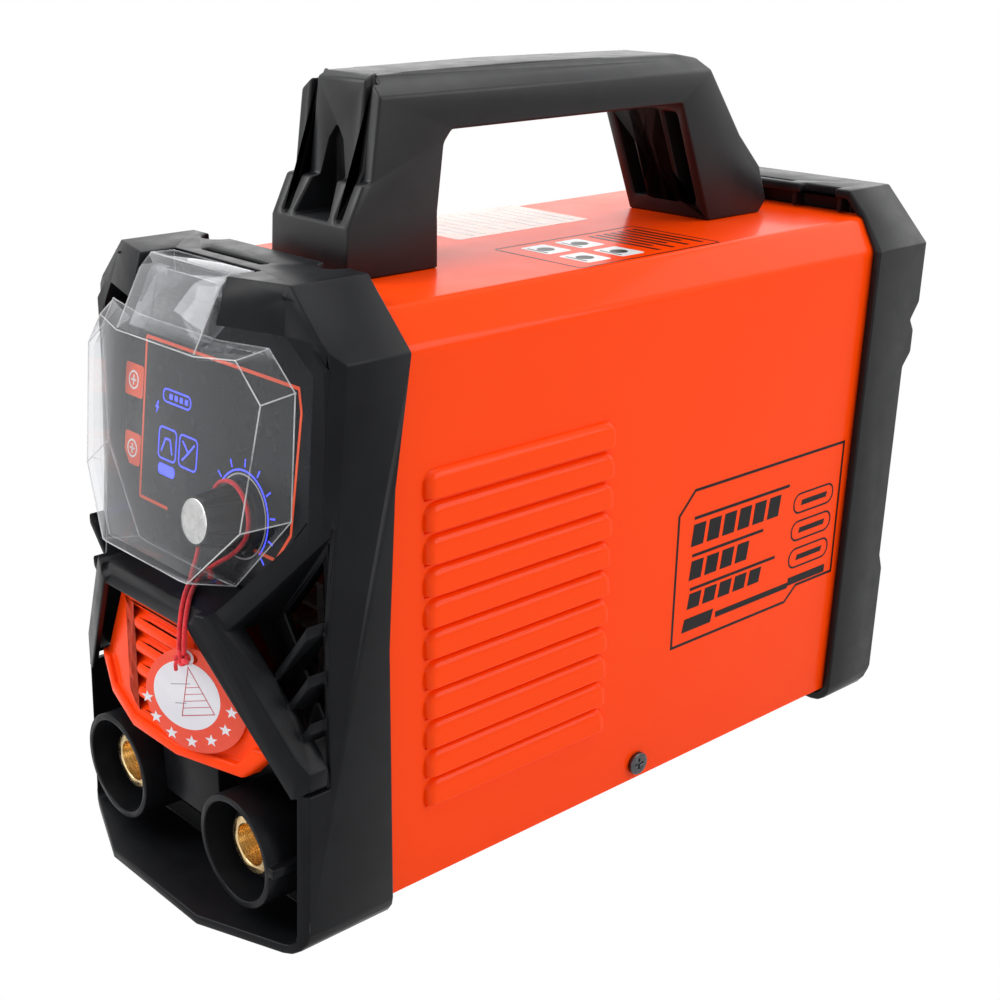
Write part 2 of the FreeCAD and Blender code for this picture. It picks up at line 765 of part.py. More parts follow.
def knob():
    normal = panel_normal()
    base = on_panel(knob_x, knob_z, overlay_thickness + 0.3)
    body = cylinder(*base, knob_skirt_radius, 2.4, normal)
    body = body.fuse(Part.makeCone(knob_body_radius, knob_grip_radius, knob_height - 2.4,
                                   Vector(*on_panel(knob_x, knob_z, overlay_thickness + 2.7)), Vector(*normal)))
    flutes = []
    for index in range(knob_flutes):
        angle = 2 * math.pi * (index + 0.5) / knob_flutes
        radius = knob_body_radius + 0.9
        x = knob_x + radius * math.cos(angle)
        up = radius * math.sin(angle)
        start = Vector(*on_panel(knob_x, knob_z, overlay_thickness + 2.7))
        along_up = Vector(0, math.sin(math.radians(panel_tilt)), math.cos(math.radians(panel_tilt)))
        point = start + along_up * up
        flutes.append(cylinder(x, point.y, point.z, 1.9, knob_height, normal))
    body = body.cut(Part.makeCompound(flutes))
    seat = cylinder(*on_panel(knob_x, knob_z, overlay_thickness + 0.3 + knob_height - 0.4), knob_cap_radius, 3, normal)
    bore = cylinder(*on_panel(knob_x, knob_z, -1), shaft_radius, 12.5, normal)
    return body.cut(Part.makeCompound([seat, bore]))


def knob_cap():
    return cylinder(*on_panel(knob_x, knob_z, overlay_thickness + 0.3 + knob_height - 0.4), knob_cap_radius,
                    knob_cap_thickness, panel_normal())


def potentiometer_shaft():
    return cylinder(*on_panel(knob_x, knob_z, -board_offset + 1.0), shaft_radius, board_offset + 10.4, panel_normal())


def potentiometer():
    normal = panel_normal()
    body = cylinder(*on_panel(knob_x, knob_z, -board_offset), pot_body_radius, board_offset - panel_thickness - 0.02,
                    normal)
    bore = cylinder(*on_panel(knob_x, knob_z, -board_offset + 1.0), shaft_radius + shaft_clearance, 20, normal)
    return body.cut(bore)


# ---------------------------------------------------------------------------------------------
# Clear cover
# ---------------------------------------------------------------------------------------------
def clear_outline(shrink, taper):
    """Half front view of the clear cover, taper going from its rim to its front face."""
    gap = clear_rim_gap + shrink
    half = pocket_half - gap - 5.6 * taper
    top = pocket_top - gap - 3.4 * taper
    low = chin_high + gap + 2.4 * taper
    corner = pocket_corner + 0.4
    inward = -gap - 3.0 * taper
    return [
        (0, top), (half - corner, top), (half, top - corner - 1.0), (half, diagonal_z(half, inward)),
        (diagonal_x(low, inward), low), (0, low),
    ]


def clear_front(shrink):
    """Solid behind the clear cover's faceted, leaning front face."""
    lean = math.tan(math.radians(clear_front_tilt))
    middle = (chin_high + pocket_top) / 2
    levels = []
    for z in (chin_high - 10, frame_top + 5):
        reach = clear_reach - (z - middle) * lean - shrink
        side = reach - (pocket_half - clear_flat) * clear_bulge_slope
        levels.append((z, [(clear_flat, fy(reach)), (pocket_half, fy(side)), (pocket_half, fy(10)),
                           (-pocket_half, fy(10)), (-pocket_half, fy(side)), (-clear_flat, fy(reach))]))
    return plan_loft(levels)


def rim_solid():
    """What lies ahead of the clear cover's rim, which follows the face of the frame."""
    lean = math.tan(math.radians(clear_front_tilt))
    levels = []
    for z in (chin_high - 10, frame_top + 5):
        back = 24.5 + (pocket_top - z) * lean * 0.35
        levels.append((z, [(-big, fy(100)), (big, fy(100)), (big, fy(back - 20)), (pocket_half, fy(back - 4.5)),
                           (neck_half, fy(back)), (-neck_half, fy(back)), (-pocket_half, fy(back - 4.5)),
                           (-big, fy(back - 20))]))
    return plan_loft(levels)


def clear_cover():
    rim_y, face_y = fy(20.0), fy(29.0)
    far_y, near_y = fy(47.0), fy(11.0)
    ratio_far = (rim_y - far_y) / (rim_y - face_y)
    ratio_near = (rim_y - near_y) / (rim_y - face_y)

    def tub(shrink):
        loft = front_loft(both_sides(clear_outline(shrink, ratio_near)), near_y,
                          both_sides(clear_outline(shrink, ratio_far)), far_y)
        return loft.common(clear_front(shrink))

    body = tub(0).cut(tub(clear_wall)).common(rim_solid())
    # neck: a curved strap from the tub's top edge over the brow to the hinge
    lean = math.tan(math.radians(clear_front_tilt))
    middle = (chin_high + pocket_top) / 2
    neck_low = pocket_top - clear_rim_gap - 4.6
    low_reach = clear_reach - (neck_low - middle) * lean - 0.2
    knee = (fy(hinge_reach + hinge_radius + 2.8), hinge_z + 1.5)
    crown = (fy(hinge_reach + 3.0), hinge_z + hinge_radius + 1.0)
    heel = (fy(hinge_reach - 4.6), hinge_z + hinge_radius + 0.6)
    outer = [(fy(low_reach), neck_low), knee, crown, heel]
    wall = clear_wall + 0.4
    inner = [(heel[0], heel[1] - wall), (crown[0], crown[1] - wall),
             (knee[0] + wall * 0.8, knee[1] - wall * 0.5), (fy(low_reach) + wall, neck_low)]
    neck = prism_yz(outer + inner, -neck_half, neck_half)
    ribs = []
    for side in (-1, 1):
        x = side * (neck_half - 2.2) if side > 0 else -neck_half
        web = [(fy(low_reach) + 0.6, neck_low), knee, crown, heel, (heel[0], hinge_z - 1.0),
               (hinge_y, hinge_z - hinge_radius), (fy(low_reach) + 5.0, neck_low + 1.5)]
        ribs.append(prism_yz(web, x, x + 2.2))
    barrel = cylinder(-neck_half, hinge_y, hinge_z, hinge_radius, 2 * neck_half, (1, 0, 0))
    middle_gap = box(-neck_half + 6, neck_half - 6, fy(60), fy(-10), 0, hinge_z + 1.8)
    barrel = barrel.cut(middle_gap.common(cylinder(-neck_half, hinge_y, hinge_z, hinge_radius + 0.1,
                                                   2 * neck_half, (1, 0, 0))))
    whole = fuse([body, neck, barrel] + ribs)
    bore = cylinder(-neck_half - 1, hinge_y, hinge_z, hinge_pin_radius + 0.05, 2 * neck_half + 2, (1, 0, 0))
    return whole.cut(bore)


def cover_hinge_pins():
    pins = []
    for side in (-1, 1):
        start = side * (neck_half - 5.4)
        pins.append(cylinder(start, hinge_y, hinge_z, hinge_pin_radius, neck_gap + 5.4 - 1 + hinge_pin_length,
                             (side, 0, 0)))
    return pins


# ---------------------------------------------------------------------------------------------
# Output sockets
# ---------------------------------------------------------------------------------------------
def socket_housing(x):
    """Black ring with a flange behind the wall and a step that holds the brass insert."""
    depth = socket_reach - socket_wall_reach
    ring = tube(x, fy(socket_reach), socket_height, socket_ring_radius, socket_ring_radius - socket_ring_wall,
                depth, (0, 1, 0))
    if x > 0:
        start = x + socket_ring_radius - socket_ring_wall / 2
        end = start + socket_ring_wall / 2 + socket_key_reach
        ring = ring.fuse(box(start, end, fy(socket_reach), fy(socket_wall_reach), socket_height,
                             socket_height + socket_key_width))
    floor = cylinder(x, fy(socket_wall_reach + 3), socket_height, socket_ring_radius - 0.5, 3, (0, 1, 0))
    sleeve = cylinder(x, fy(socket_reach - socket_recess - 2), socket_height, socket_brass_radius + 2.0,
                      depth - socket_recess - 2, (0, 1, 0))
    spigot = cylinder(x, fy(socket_wall_reach), socket_height, socket_flange_radius - 4 - fit_gap,
                      socket_wall_reach - plate_reach + plate_wall, (0, 1, 0))
    body = fuse([ring, floor, sleeve, spigot])
    length = socket_bore_length + 2
    seat = cylinder(x, fy(socket_reach - socket_recess), socket_height, socket_brass_radius, length, (0, 1, 0))
    stud = cylinder(x, fy(socket_reach), socket_height, socket_stud_radius, 60, (0, 1, 0))
    return body.cut(seat.fuse(stud))


def socket_brass(x):
    """Brass bayonet insert: bore with a key slot, and a threaded stud behind."""
    front = fy(socket_reach - socket_recess)
    length = socket_bore_length + 2
    body = cylinder(x, front, socket_height, socket_brass_radius - 0.02, length, (0, 1, 0))
    stud = cylinder(x, front + length, socket_height, socket_stud_radius - 0.02, socket_stud_length, (0, 1, 0))
    bore = cylinder(x, front - 1, socket_height, socket_bore_radius, socket_bore_length + 1, (0, 1, 0))
    key = box(x - 1.6, x + 1.6, front - 1, front + 8, socket_height, socket_height + socket_bore_radius + 1.6)
    return body.fuse(stud).removeSplitter().cut(bore.fuse(key))


def busbar(x):
    """Copper strap from a socket's stud back to the output stage."""
    stud_y = fy(socket_reach - socket_recess) + socket_bore_length + 2
    y0 = stud_y + 0.05
    y1 = board_front + 14
    upright = box(x - 8, x + 8, y0, y0 + 2, board_top + 0.05, socket_height + 9)
    upright = upright.cut(cylinder(x, y0 - 1, socket_height, socket_stud_radius + 0.1, 4, (0, 1, 0)))
    foot = box(x - 8, x + 8, y0, y1, board_top + 0.05, board_top + 2.05)
    return upright.fuse(foot).removeSplitter()


def socket_nuts():
    nuts = []
    for x in (-socket_x, socket_x):
        y = fy(socket_reach - socket_recess) + socket_bore_length + 4.1
        nut = hexagon(x, y, socket_height, socket_nut_width, socket_nut_height, (0, 1, 0))
        nuts.append(nut.cut(cylinder(x, y - 1, socket_height, socket_stud_radius + 0.02, 20, (0, 1, 0))))
    return nuts


# ---------------------------------------------------------------------------------------------
# Places of feet and screws
# ---------------------------------------------------------------------------------------------
foot_inset = 18.0             # foot centre to the frame's side
foot_front = 24.0             # front feet, ahead of the cover's front edge
foot_rear = 10.5              # rear feet, behind the cover's rear edge
frame_screw_x = 30.0
handle_screw_x = 9.0
handle_screw_front = 36.0
handle_screw_rear = 26.0


def foot_places():
    x = frame_half - foot_inset
    return [(-x, fy(foot_front)), (x, fy(foot_front)), (-x, ry(foot_rear)), (x, ry(foot_rear))]


def frame_screw_places(y):
    return [(-frame_screw_x, y), (frame_screw_x, y)]


def handle_screw_places():
    ys = (fy(-handle_screw_front), ry(-handle_screw_rear))
    return [(side * handle_screw_x, y) for side in (-1, 1) for y in ys]


def tray_seat(y0, y1):
    """Raised floor of a frame that the base tray rests on."""
    half = inner_half - 8
    return box(-half, half, y0, y1, frame_bottom + 1, tray_bottom)


def screw(x, y, z, length, direction, head=screw_head_radius):
    """Pan-head screw: its head's seat lies at x, y, z, and the shank points along direction."""
    back = Vector(x, y, z) - Vector(*direction) * screw_head_height
    shank = cylinder(x, y, z, screw_radius, length, direction)
    cap = cylinder(back.x, back.y, back.z, head, screw_head_height, direction)
    cross = []
    for turn in (0, 1):
        bar = box(-head * 0.55, head * 0.55, -0.45, 0.45, -1.0, 1.0)
        bar.rotate(Vector(0, 0, 0), Vector(0, 0, 1), 90 * turn)
        bar.Placement = FreeCAD.Placement(back, FreeCAD.Rotation(Vector(0, 0, 1), Vector(*direction))).multiply(
            bar.Placement)
        cross.append(bar)
    return shank.fuse(cap).removeSplitter().cut(Part.makeCompound(cross))


def rubber_feet():
    return [cylinder(x, y, 0, foot_radius - 0.1, frame_bottom + foot_seat, (0, 0, 1)) for x, y in foot_places()]


def frame_screws():
    places = frame_screw_places(cover_front + 1) + frame_screw_places(cover_rear - 1)
    return [screw(x, y, frame_bottom, tray_bottom - frame_bottom + 4, (0, 0, 1)) for x, y in places]


def cover_screws():
    y = (cover_front + cover_rear) / 2
    return [screw(side * cover_half, y, cover_screw_z, 7, (-side, 0, 0)) for side in (-1, 1)]


def handle_screws():
    z = cover_top - cover_sheet
    return [screw(x, y, z, cover_sheet + 5, (0, 0, 1)) for x, y in handle_screw_places()]


# ---------------------------------------------------------------------------------------------
# Rear frame and what it carries
# ---------------------------------------------------------------------------------------------
def rear_profile():
    """Side view of the rear frame's outer band, with its recessed grip."""
    return [
        (ry(-rear_front_low), frame_bottom - 1), (ry(-rear_front_low + 2), cover_top / 2),
        (ry(-rear_front_low + 2.5), shoulder_low), (ry(2), cover_top + 1), (ry(2), frame_top + 1),
        (ry(rear_reach), frame_top + 1), (ry(rear_reach - 0.3), frame_top - 39), (ry(rear_reach - 4.5), frame_top - 45),
        (ry(rear_reach - 2), frame_top - 49), (ry(rear_reach - 2), frame_top - 57),
        (ry(rear_reach_mid), frame_top - 62), (ry(rear_reach_mid), frame_bottom + 56),
        (ry(rear_foot_reach), frame_bottom + 50), (ry(rear_foot_reach), frame_bottom + 9),
        (ry(rear_reach_mid - 2), frame_bottom + 1), (ry(rear_reach_mid - 7), frame_bottom - 1),
    ]


def rear_frame():
    band = collar(ry(-20), ry(60)).common(prism_yz(rear_profile(), -big, big))
    ring = prism_xz(both_sides(frame_outline(frame_wall - 0.5)), ry(rear_panel_reach + rear_panel_wall),
                    ry(rear_panel_reach + rear_panel_wall + 2))
    ring = ring.cut(prism_xz(both_sides(frame_outline(frame_wall + 3)), ry(0), ry(60)))
    ribs = [box(x - 0.9, x + 0.9, ry(3), ry(rear_panel_reach - 0.1), cover_top + 0.4, frame_top - 1)
            for x in (-frame_half * 0.62, -frame_half * 0.3, 0, frame_half * 0.3, frame_half * 0.62)]
    body = fuse([band, ring] + ribs).cut(cover_room(ry(-20), ry(cover_tuck + fit_gap)))
    body = fuse([body, inner_ring(ry(-cover_tuck), ry(rear_panel_reach - 0.1)),
                 tray_seat(ry(-4), ry(rear_panel_reach - 0.1))])
    # ties between the band and the flange under the cover, past the cover's end
    tie = prism_xz(both_sides(frame_outline(frame_wall - 0.5)), ry(cover_tuck + fit_gap), ry(rear_panel_reach))
    tie = tie.cut(prism_xz(both_sides(cover_outline(cover_sheet + fit_gap + 1.9)
                                      + [(inner_half - 1.9, frame_bottom - 1), (0, frame_bottom - 1)]),
                           ry(0), ry(60)))
    body = body.fuse(tie)
    cuts = [box(-15, 15, ry(5), ry(7.5), frame_top - 1.6, frame_top + 1)]
    notch = box(frame_half * 0.35, frame_half * 0.6, ry(0), ry(5.5), frame_top - 6, frame_top + 1)
    cuts += two(notch)
    for x, y in foot_places()[2:]:
        cuts.append(cylinder(x, y, 0, foot_radius, frame_bottom + foot_seat, (0, 0, 1)))
    for x, y in frame_screw_places(cover_rear - 1):
        cuts.append(cylinder(x, y, 0, screw_radius + 0.2, 20, (0, 0, 1)))
    return body.cut(Part.makeCompound(cuts))


def rear_panel():
    y0, y1 = ry(rear_panel_reach), ry(rear_panel_reach + rear_panel_wall)
    plate = prism_xz(both_sides(frame_outline(frame_wall + 0.15)), y0, y1)
    cuts = [cylinder(0, y0 - 1, fan_height, fan_size / 2 - 3, 10, (0, 1, 0)),
            cylinder(gland_x, y0 - 1, gland_height, gland_thread_radius + 0.1, 10, (0, 1, 0)),
            cylinder(earth_x, y0 - 1, earth_height, earth_radius + 0.1, 10, (0, 1, 0)),
            box(switch_x - rocker_width / 2 - 3.1, switch_x + rocker_width / 2 + 3.1, y0 - 1, y1 + 1,
                switch_height - rocker_length / 2 - 3.1, switch_height + rocker_length / 2 + 3.1)]
    for x, z in fan_corners():
        cuts.append(cylinder(x, y0 - 1, z, screw_radius + 0.1, 10, (0, 1, 0)))
    slots = []
    for row in range(5):
        z = frame_top - frame_shoulder - 1 + 2.6 * row - 6
        slots.append(box(-30, 30, y0 - 1, y1 + 1, z, z + 1.2))
    return plate.cut(Part.makeCompound(cuts + slots))


def fan_corners():
    reach = fan_size / 2 - 4.5
    return [(x, fan_height + z) for x in (-reach, reach) for z in (-reach, reach)]


def fan_front_y():
    return ry(rear_panel_reach) - fan_depth


def fan_frame():
    y0 = fan_front_y()
    half = fan_size / 2
    frame = box(-half, half, y0, y0 + fan_depth, fan_height - half, fan_height + half)
    frame = frame.cut(cylinder(0, y0 - 1, fan_height, half - 1.8, fan_depth + 2, (0, 1, 0)))
    waist = frame.cut(tube(0, y0 + 4, fan_height, half * 1.6, half - 0.2, fan_depth - 8, (0, 1, 0)))
    hub = cylinder(0, y0, fan_height, fan_hub_radius, 3, (0, 1, 0))
    struts = []
    for index in range(4):
        bar = box(-1.5, 1.5, y0, y0 + 3, fan_height, fan_height + half - 1)
        bar.rotate(Vector(0, y0, fan_height), Vector(0, 1, 0), 45 + 90 * index)
        struts.append(bar)
    axle = cylinder(0, y0 + 3, fan_height, 1.5, 14, (0, 1, 0))
    holes = [cylinder(x, y0 - 1, z, screw_radius + 0.1, fan_depth + 2, (0, 1, 0)) for x, z in fan_corners()]
    return fuse([waist, hub, axle] + struts).cut(Part.makeCompound(holes))


def fan_rotor():
    y0 = fan_front_y() + 3.6
    depth = fan_depth - 6
    hub = cylinder(0, y0, fan_height, fan_hub_radius, depth, (0, 1, 0))
    tip = fan_size / 2 - 1.8 - 1.2
    blades = []
    for index in range(fan_blades):
        blade = box(-0.9, 0.9, -11, 11, fan_hub_radius - 1.5, tip)
        blade.rotate(Vector(0, 0, 0), Vector(0, 0, 1), 38)
        blade.rotate(Vector(0, 0, 0), Vector(0, 1, 0), 360 * index / fan_blades)
        blade.translate(Vector(0, y0 + depth / 2, fan_height))
        blades.append(blade)
    reach = cylinder(0, y0 + 0.8, fan_height, tip, depth - 1.6, (0, 1, 0))
    body = fuse([hub] + [blade.common(reach) for blade in blades])
    return body.cut(cylinder(0, y0 - 1, fan_height, 1.55, 15.4, (0, 1, 0)))


def fan_guard():
    """Wire guard behind the rear panel: rings, spokes and four eyes."""
    y = ry(rear_panel_reach + rear_panel_wall) + 1.6
    wires = [Part.makeTorus(r, 0.8, Vector(0, y, fan_height), Vector(0, 1, 0)) for r in (8, 14.5, 21, 27.5, 34)]
    for angle in range(45, 225, 45):
        direction = (math.cos(math.radians(angle)), 0, math.sin(math.radians(angle)))
        long = angle in (45, 135)
        reach = (fan_size / 2 - 4.5) * math.sqrt(2) - 3.0 if long else 34.5
        wires.append(cylinder(-direction[0] * reach, y + 0.6, fan_height - direction[2] * reach, 0.8, 2 * reach,
                              direction))
    for x, z in fan_corners():
        wires.append(tube(x, y - 1.6, z, 4.2, screw_radius + 0.1, 2.6, (0, 1, 0)))
    wires.append(cylinder(0, y - 0.6, fan_height, 4, 1.4, (0, 1, 0)))
    return fuse(wires)


def fan_screws():
    y = ry(rear_panel_reach + rear_panel_wall) + 2.6
    return [screw(x, y, z, 20, (0, -1, 0), 3.4) for x, z in fan_corners()]


def pivot_y():
    return ry(rear_panel_reach + rear_panel_wall) + 1.0


def mains_switch_body():
    """Switch housing with a rim outside the rear panel and two spade terminals."""
    y1 = ry(rear_panel_reach + rear_panel_wall)
    w, l = rocker_width / 2 + 3, rocker_length / 2 + 3
    body = box(switch_x - w, switch_x + w, y1 - 20, y1, switch_height - l, switch_height + l)
    rim = box(switch_x - w - 2, switch_x + w + 2, y1, y1 + 2, switch_height - l - 2, switch_height + l + 2)
    room = box(switch_x - rocker_width / 2 - 0.3, switch_x + rocker_width / 2 + 0.3, y1 - 13, y1 + 3,
               switch_height - rocker_length / 2 - 1.4, switch_height + rocker_length / 2 + 1.4)
    pin = cylinder(switch_x - w + 1, pivot_y() - 3, switch_height, 1.25, 2 * w - 2, (1, 0, 0))
    blades = [box(switch_x - 0.4, switch_x + 0.4, y1 - 29, y1 - 19.5, z - 3, z + 3)
              for z in (switch_height - 7, switch_height + 7)]
    return fuse([body.fuse(rim).cut(room.fuse(pin))] + blades)


def mains_rocker():
    half = rocker_length / 2
    y = pivot_y() - 3
    outline = [(y - 5, -half + 4), (y - 5, half - 4), (y + 2, half), (y + 6.4, half), (y + 4.0, 0), (y + 6.4, -half),
               (y + 2, -half)]
    outline = [(a, b + switch_height) for a, b in outline]
    body = prism_yz(outline, switch_x - rocker_width / 2, switch_x + rocker_width / 2)
    pivot = cylinder(switch_x - rocker_width / 2 - 1.6, y, switch_height, 1.2, rocker_width + 3.2, (1, 0, 0))
    body = body.fuse(pivot)
    body.rotate(Vector(switch_x, y, switch_height), Vector(1, 0, 0), -rocker_travel)
    return body


def cable_gland():
    """Nylon gland body with its domed clamping nut; the bore takes the mains lead."""
    y = ry(rear_panel_reach + rear_panel_wall)
    hexa = hexagon(gland_x, y, gland_height, 24, 5, (0, 1, 0))
    dome = Part.makeCone(10.8, 7.9, 7, Vector(gland_x, y + 5, gland_height), Vector(0, 1, 0))
    thread = cylinder(gland_x, y - 11, gland_height, gland_thread_radius, 11, (0, 1, 0))
    body = fuse([hexa, dome, thread])
    return body.cut(cylinder(gland_x, y - 12, gland_height, gland_bore_radius, 40, (0, 1, 0)))


def gland_nut():
    y = ry(rear_panel_reach)
    nut = hexagon(gland_x, y - 5, gland_height, 25, 5, (0, 1, 0))
    return nut.cut(cylinder(gland_x, y - 6, gland_height, gland_thread_radius + 0.02, 10, (0, 1, 0)))


def earth_stud():
    y = ry(rear_panel_reach)
    head = hexagon(earth_x, y - 4, earth_height, 10, 4, (0, 1, 0))
    shank = cylinder(earth_x, y - 1, earth_height, earth_radius, 13, (0, 1, 0))
    return head.fuse(shank).removeSplitter()


def earth_nuts():
    y = ry(rear_panel_reach + rear_panel_wall)
    bore = cylinder(earth_x, y - 1, earth_height, earth_radius + 0.02, 20, (0, 1, 0))
    washer = cylinder(earth_x, y, earth_height, 6, 1, (0, 1, 0)).cut(bore)
    nut = hexagon(earth_x, y + 1.02, earth_height, 10, 4.5, (0, 1, 0)).cut(bore)
    return [washer, nut]


# ---------------------------------------------------------------------------------------------
# Handle
# ---------------------------------------------------------------------------------------------
def handle():
    y0, y1 = fy(-handle_front), ry(-handle_rear_margin)
    base, top = cover_top, cover_top + handle_height
    outline = [
        (y0, base), (y0 + 1, base + 15), (y0 + 7, base + 26.5), (y0 + 10, base + 26.8), (y0 + 14, top - 2),
        (y0 + 17, top - 0.6), (y0 + 75, top), (y1 - 45, top - 1), (y1 - 37, top - 2.4), (y1 - 17, base + 27.5),
        (y1 - 5, base + 16), (y1, base + 4), (y1 - 3.5, base),
    ]
    opening = [(y0 + 34.5, base - 1), (y0 + 34.5, base + 16.5), (y0 + 37, base + 35.5),
               (y0 + 40, base + grip_height - 0.5),
               (y1 - 47.5, base + grip_height), (y1 - 30.5, base - 1)]
    bar = prism_yz(outline, -handle_half, handle_half)
    section_half = [(0, top + 1), (handle_half - 7, top + 1), (handle_half - 7, top - 0.5), (handle_half, top - 6),
                    (handle_half, base), (0, base)]
    bar = bar.common(prism_xz(both_sides(section_half), y0 - 1, y1 + 1))
    bar = bar.cut(prism_yz(opening, -big, big))
    # hollow of the rear leg, open towards the grip, with a stiffening rib
    wall = handle_wall
    leg = [(y1 - 31 - 8, base + 6), (y1 - 47 - 8, base + grip_height - 3), (y1 - 41, base + grip_height - 3),
           (y1 - 20 - wall, base + 24), (y1 - 8 - wall, base + 12), (y1 - 8 - wall, base + 6)]
    hollow = prism_yz(leg, -handle_half + wall, handle_half - wall)
    for x in (-handle_half * 0.4, 0, handle_half * 0.4):
        hollow = hollow.cut(box(x - 0.9, x + 0.9, -big, big, 0, big))
    # tapering pocket in the front leg and a groove along each of its sides
    pocket = prism_yz([(y0 - 5, base + 16), (y0 + 18, base + 16), (y0 + 14, base + 42), (y0 - 5, base + 42)],
                      -handle_half * 0.5, handle_half * 0.5)
    pocket = pocket.common(prism_xz(both_sides([(0, base + 41), (3.2, base + 37), (handle_half * 0.46, base + 16),
                                                (0, base + 16)]), y0 - 6, y0 + 20))
    groove = [(y0 - 5, base + 16), (y0 + 5.5, base + 16), (y0 + 12.5, base + 29), (y0 + 16.8, top - 4),
              (y0 + 16.8, top + 1), (y0 - 5, top + 1)]
    grooves = two(prism_yz(groove, handle_half - 7.2, handle_half - 4.2))
    under = box(-handle_half + wall, handle_half - wall, y0 + 4, y0 + 34 - wall, base - 1, base + 9)
    for x, y in handle_screw_places():
        under = under.cut(cylinder(x, y, base - 1, 4.2, 12, (0, 0, 1)))
    screws = [cylinder(x, y, base - 1, screw_radius, 7, (0, 0, 1)) for x, y in handle_screw_places()]
    return bar.cut(Part.makeCompound([hollow, pocket, under] + grooves + screws))


# ---------------------------------------------------------------------------------------------
# Electronics inside
# ---------------------------------------------------------------------------------------------
standoff_height = 8.0
sheet_thickness = 0.6
board_sheet = 1.6
board_margin_x = 10.0
board_front = fy(-10.0)
board_rear = ry(-24.0)
board_bottom = tray_bottom + tray_sheet + sheet_thickness + standoff_height
board_top = board_bottom + board_sheet
busbar_foot = 15.0
output_sink_length = 44.0
primary_sink_length = 42.0
rectifier_thickness = 4.6
capacitor_radius = 11.5
capacitor_height = 42.0
row_gap = (board_rear - board_front - busbar_foot - output_sink_length - primary_sink_length
           - rectifier_thickness - 2 * capacitor_radius) / 5
output_row = board_front + busbar_foot + row_gap
primary_row = output_row + output_sink_length + row_gap
rectifier_row = primary_row + primary_sink_length + row_gap
capacitor_row = rectifier_row + rectifier_thickness + row_gap


def insulating_sheet():
    half = inner_half - tray_sheet - 4
    y0, y1 = tray_ends()
    z = tray_bottom + tray_sheet
    return box(-half, half, y0 + 22, y1 - 20, z, z + sheet_thickness)


def board_half():
    return inner_half - board_margin_x


def standoff_places():
    ys = (board_front + 6, (board_front + board_rear) / 2, board_rear - 6)
    return [(side * (board_half() - 5), y) for side in (-1, 1) for y in ys]


def board_standoffs():
    z = tray_bottom + tray_sheet + sheet_thickness
    return [cylinder(x, y, z, 3.0, standoff_height, (0, 0, 1)) for x, y in standoff_places()]


def main_board():
    half = board_half()
    return box(-half, half, board_front, board_rear, board_bottom, board_top)


def heatsink(x0, x1, y0, length, height, fins):
    """Extruded sink: a back plate facing the middle and fins towards the cover's side."""
    back = 4.0
    inner, outer = (x1, x0) if abs(x1) < abs(x0) else (x0, x1)
    sign = 1 if outer > inner else -1
    plate = box(min(inner, inner + sign * back), max(inner, inner + sign * back), y0, y0 + length, board_top,
                board_top + height)
    pitch = (height - 1.6) / (fins - 1)
    leaves = [box(min(inner, outer), max(inner, outer), y0, y0 + length, board_top + pitch * i,
                  board_top + pitch * i + 1.6) for i in range(fins)]
    return fuse([plate] + leaves)


def transistors(x_face, y0, length, count, toward):
    """Flat packages clamped to a heatsink's inner face, their legs in the board."""
    pitch = length / count
    out = []
    for index in range(count):
        y = y0 + pitch * (index + 0.5)
        x0, x1 = sorted((x_face, x_face + toward * 5))
        body = box(x0, x1, y - 7.5, y + 7.5, board_top + 6, board_top + 26)
        legs = [box(x0 + 2.0, x0 + 3.0, y + dy - 0.6, y + dy + 0.6, board_top, board_top + 7) for dy in (-5, 0, 5)]
        out.append(fuse([body] + legs))
    return out


sink_inner = 20.0
sink_height = 56.0


def transformer_core():
    y0 = primary_row + primary_sink_length / 2
    outer = box(-12, 12, y0 - 21, y0 + 21, board_top, board_top + 42)
    windows = [box(-13, 13, y0 + s * 10.5 - 4.5, y0 + s * 10.5 + 4.5, board_top + 9, board_top + 35) for s in (-1, 1)]
    return outer.cut(Part.makeCompound(windows))


def transformer_windings():
    y0 = primary_row + primary_sink_length / 2
    bobbin = box(-13.6, 13.6, y0 - 14.6, y0 + 14.6, board_top + 9.4, board_top + 34.6)
    core = box(-12.1, 12.1, y0 - 6.1, y0 + 6.1, board_top, board_top + 60)
    return bobbin.cut(core)


def output_choke():
    z = board_top + 9.5
    y = output_row + output_sink_length / 2
    x = (sink_inner + board_half()) / 2
    ring = Part.makeTorus(12.5, 7.0, Vector(x, y, z), Vector(0, 0, 1))
    foot = cylinder(x, y, board_top, 12, 3.2, (0, 0, 1))
    return ring.fuse(foot)


def bulk_capacitors():
    y = capacitor_row + capacitor_radius
    pitch = 2 * capacitor_radius + 3.5
    return [cylinder(x, y, board_top, capacitor_radius, capacitor_height, (0, 0, 1)) for x in (-pitch, 0, pitch)]


def bridge_rectifier():
    body = box(-15, 15, rectifier_row, rectifier_row + rectifier_thickness, board_top + 4, board_top + 24)
    legs = [box(x - 0.6, x + 0.6, rectifier_row + 1.8, rectifier_row + 2.6, board_top, board_top + 5)
            for x in (-10.5, -3.5, 3.5, 10.5)]
    return fuse([body] + legs)


# ---------------------------------------------------------------------------------------------
# Inspection tag on its cord
# ---------------------------------------------------------------------------------------------
tag_x = 22.6
tag_z = 76.3                  # centre of the disc
tag_y = fy(41.0)
tag_turn = 27.0               # degrees the tag is turned towards the right
tag_hole = 13.6               # hole above the disc's centre
knot_radius = 2.0
cord_spread = 1.3            # half the distance between the cord's two strands
cord_edge_x = 22.6            # where the strands pass the chin's front edge
cord_x = 2.0                  # where they turn up in front of the panel
cord_pass_z = chin_high + 1.4
cord_pass_reach = 43.5        # strands' reach ahead of the chin
cord_lift = 5.0               # the loop's height above the control panel
cord_loop_radius = knob_body_radius + cord_radius + 0.2
cord_loop_corners = 4


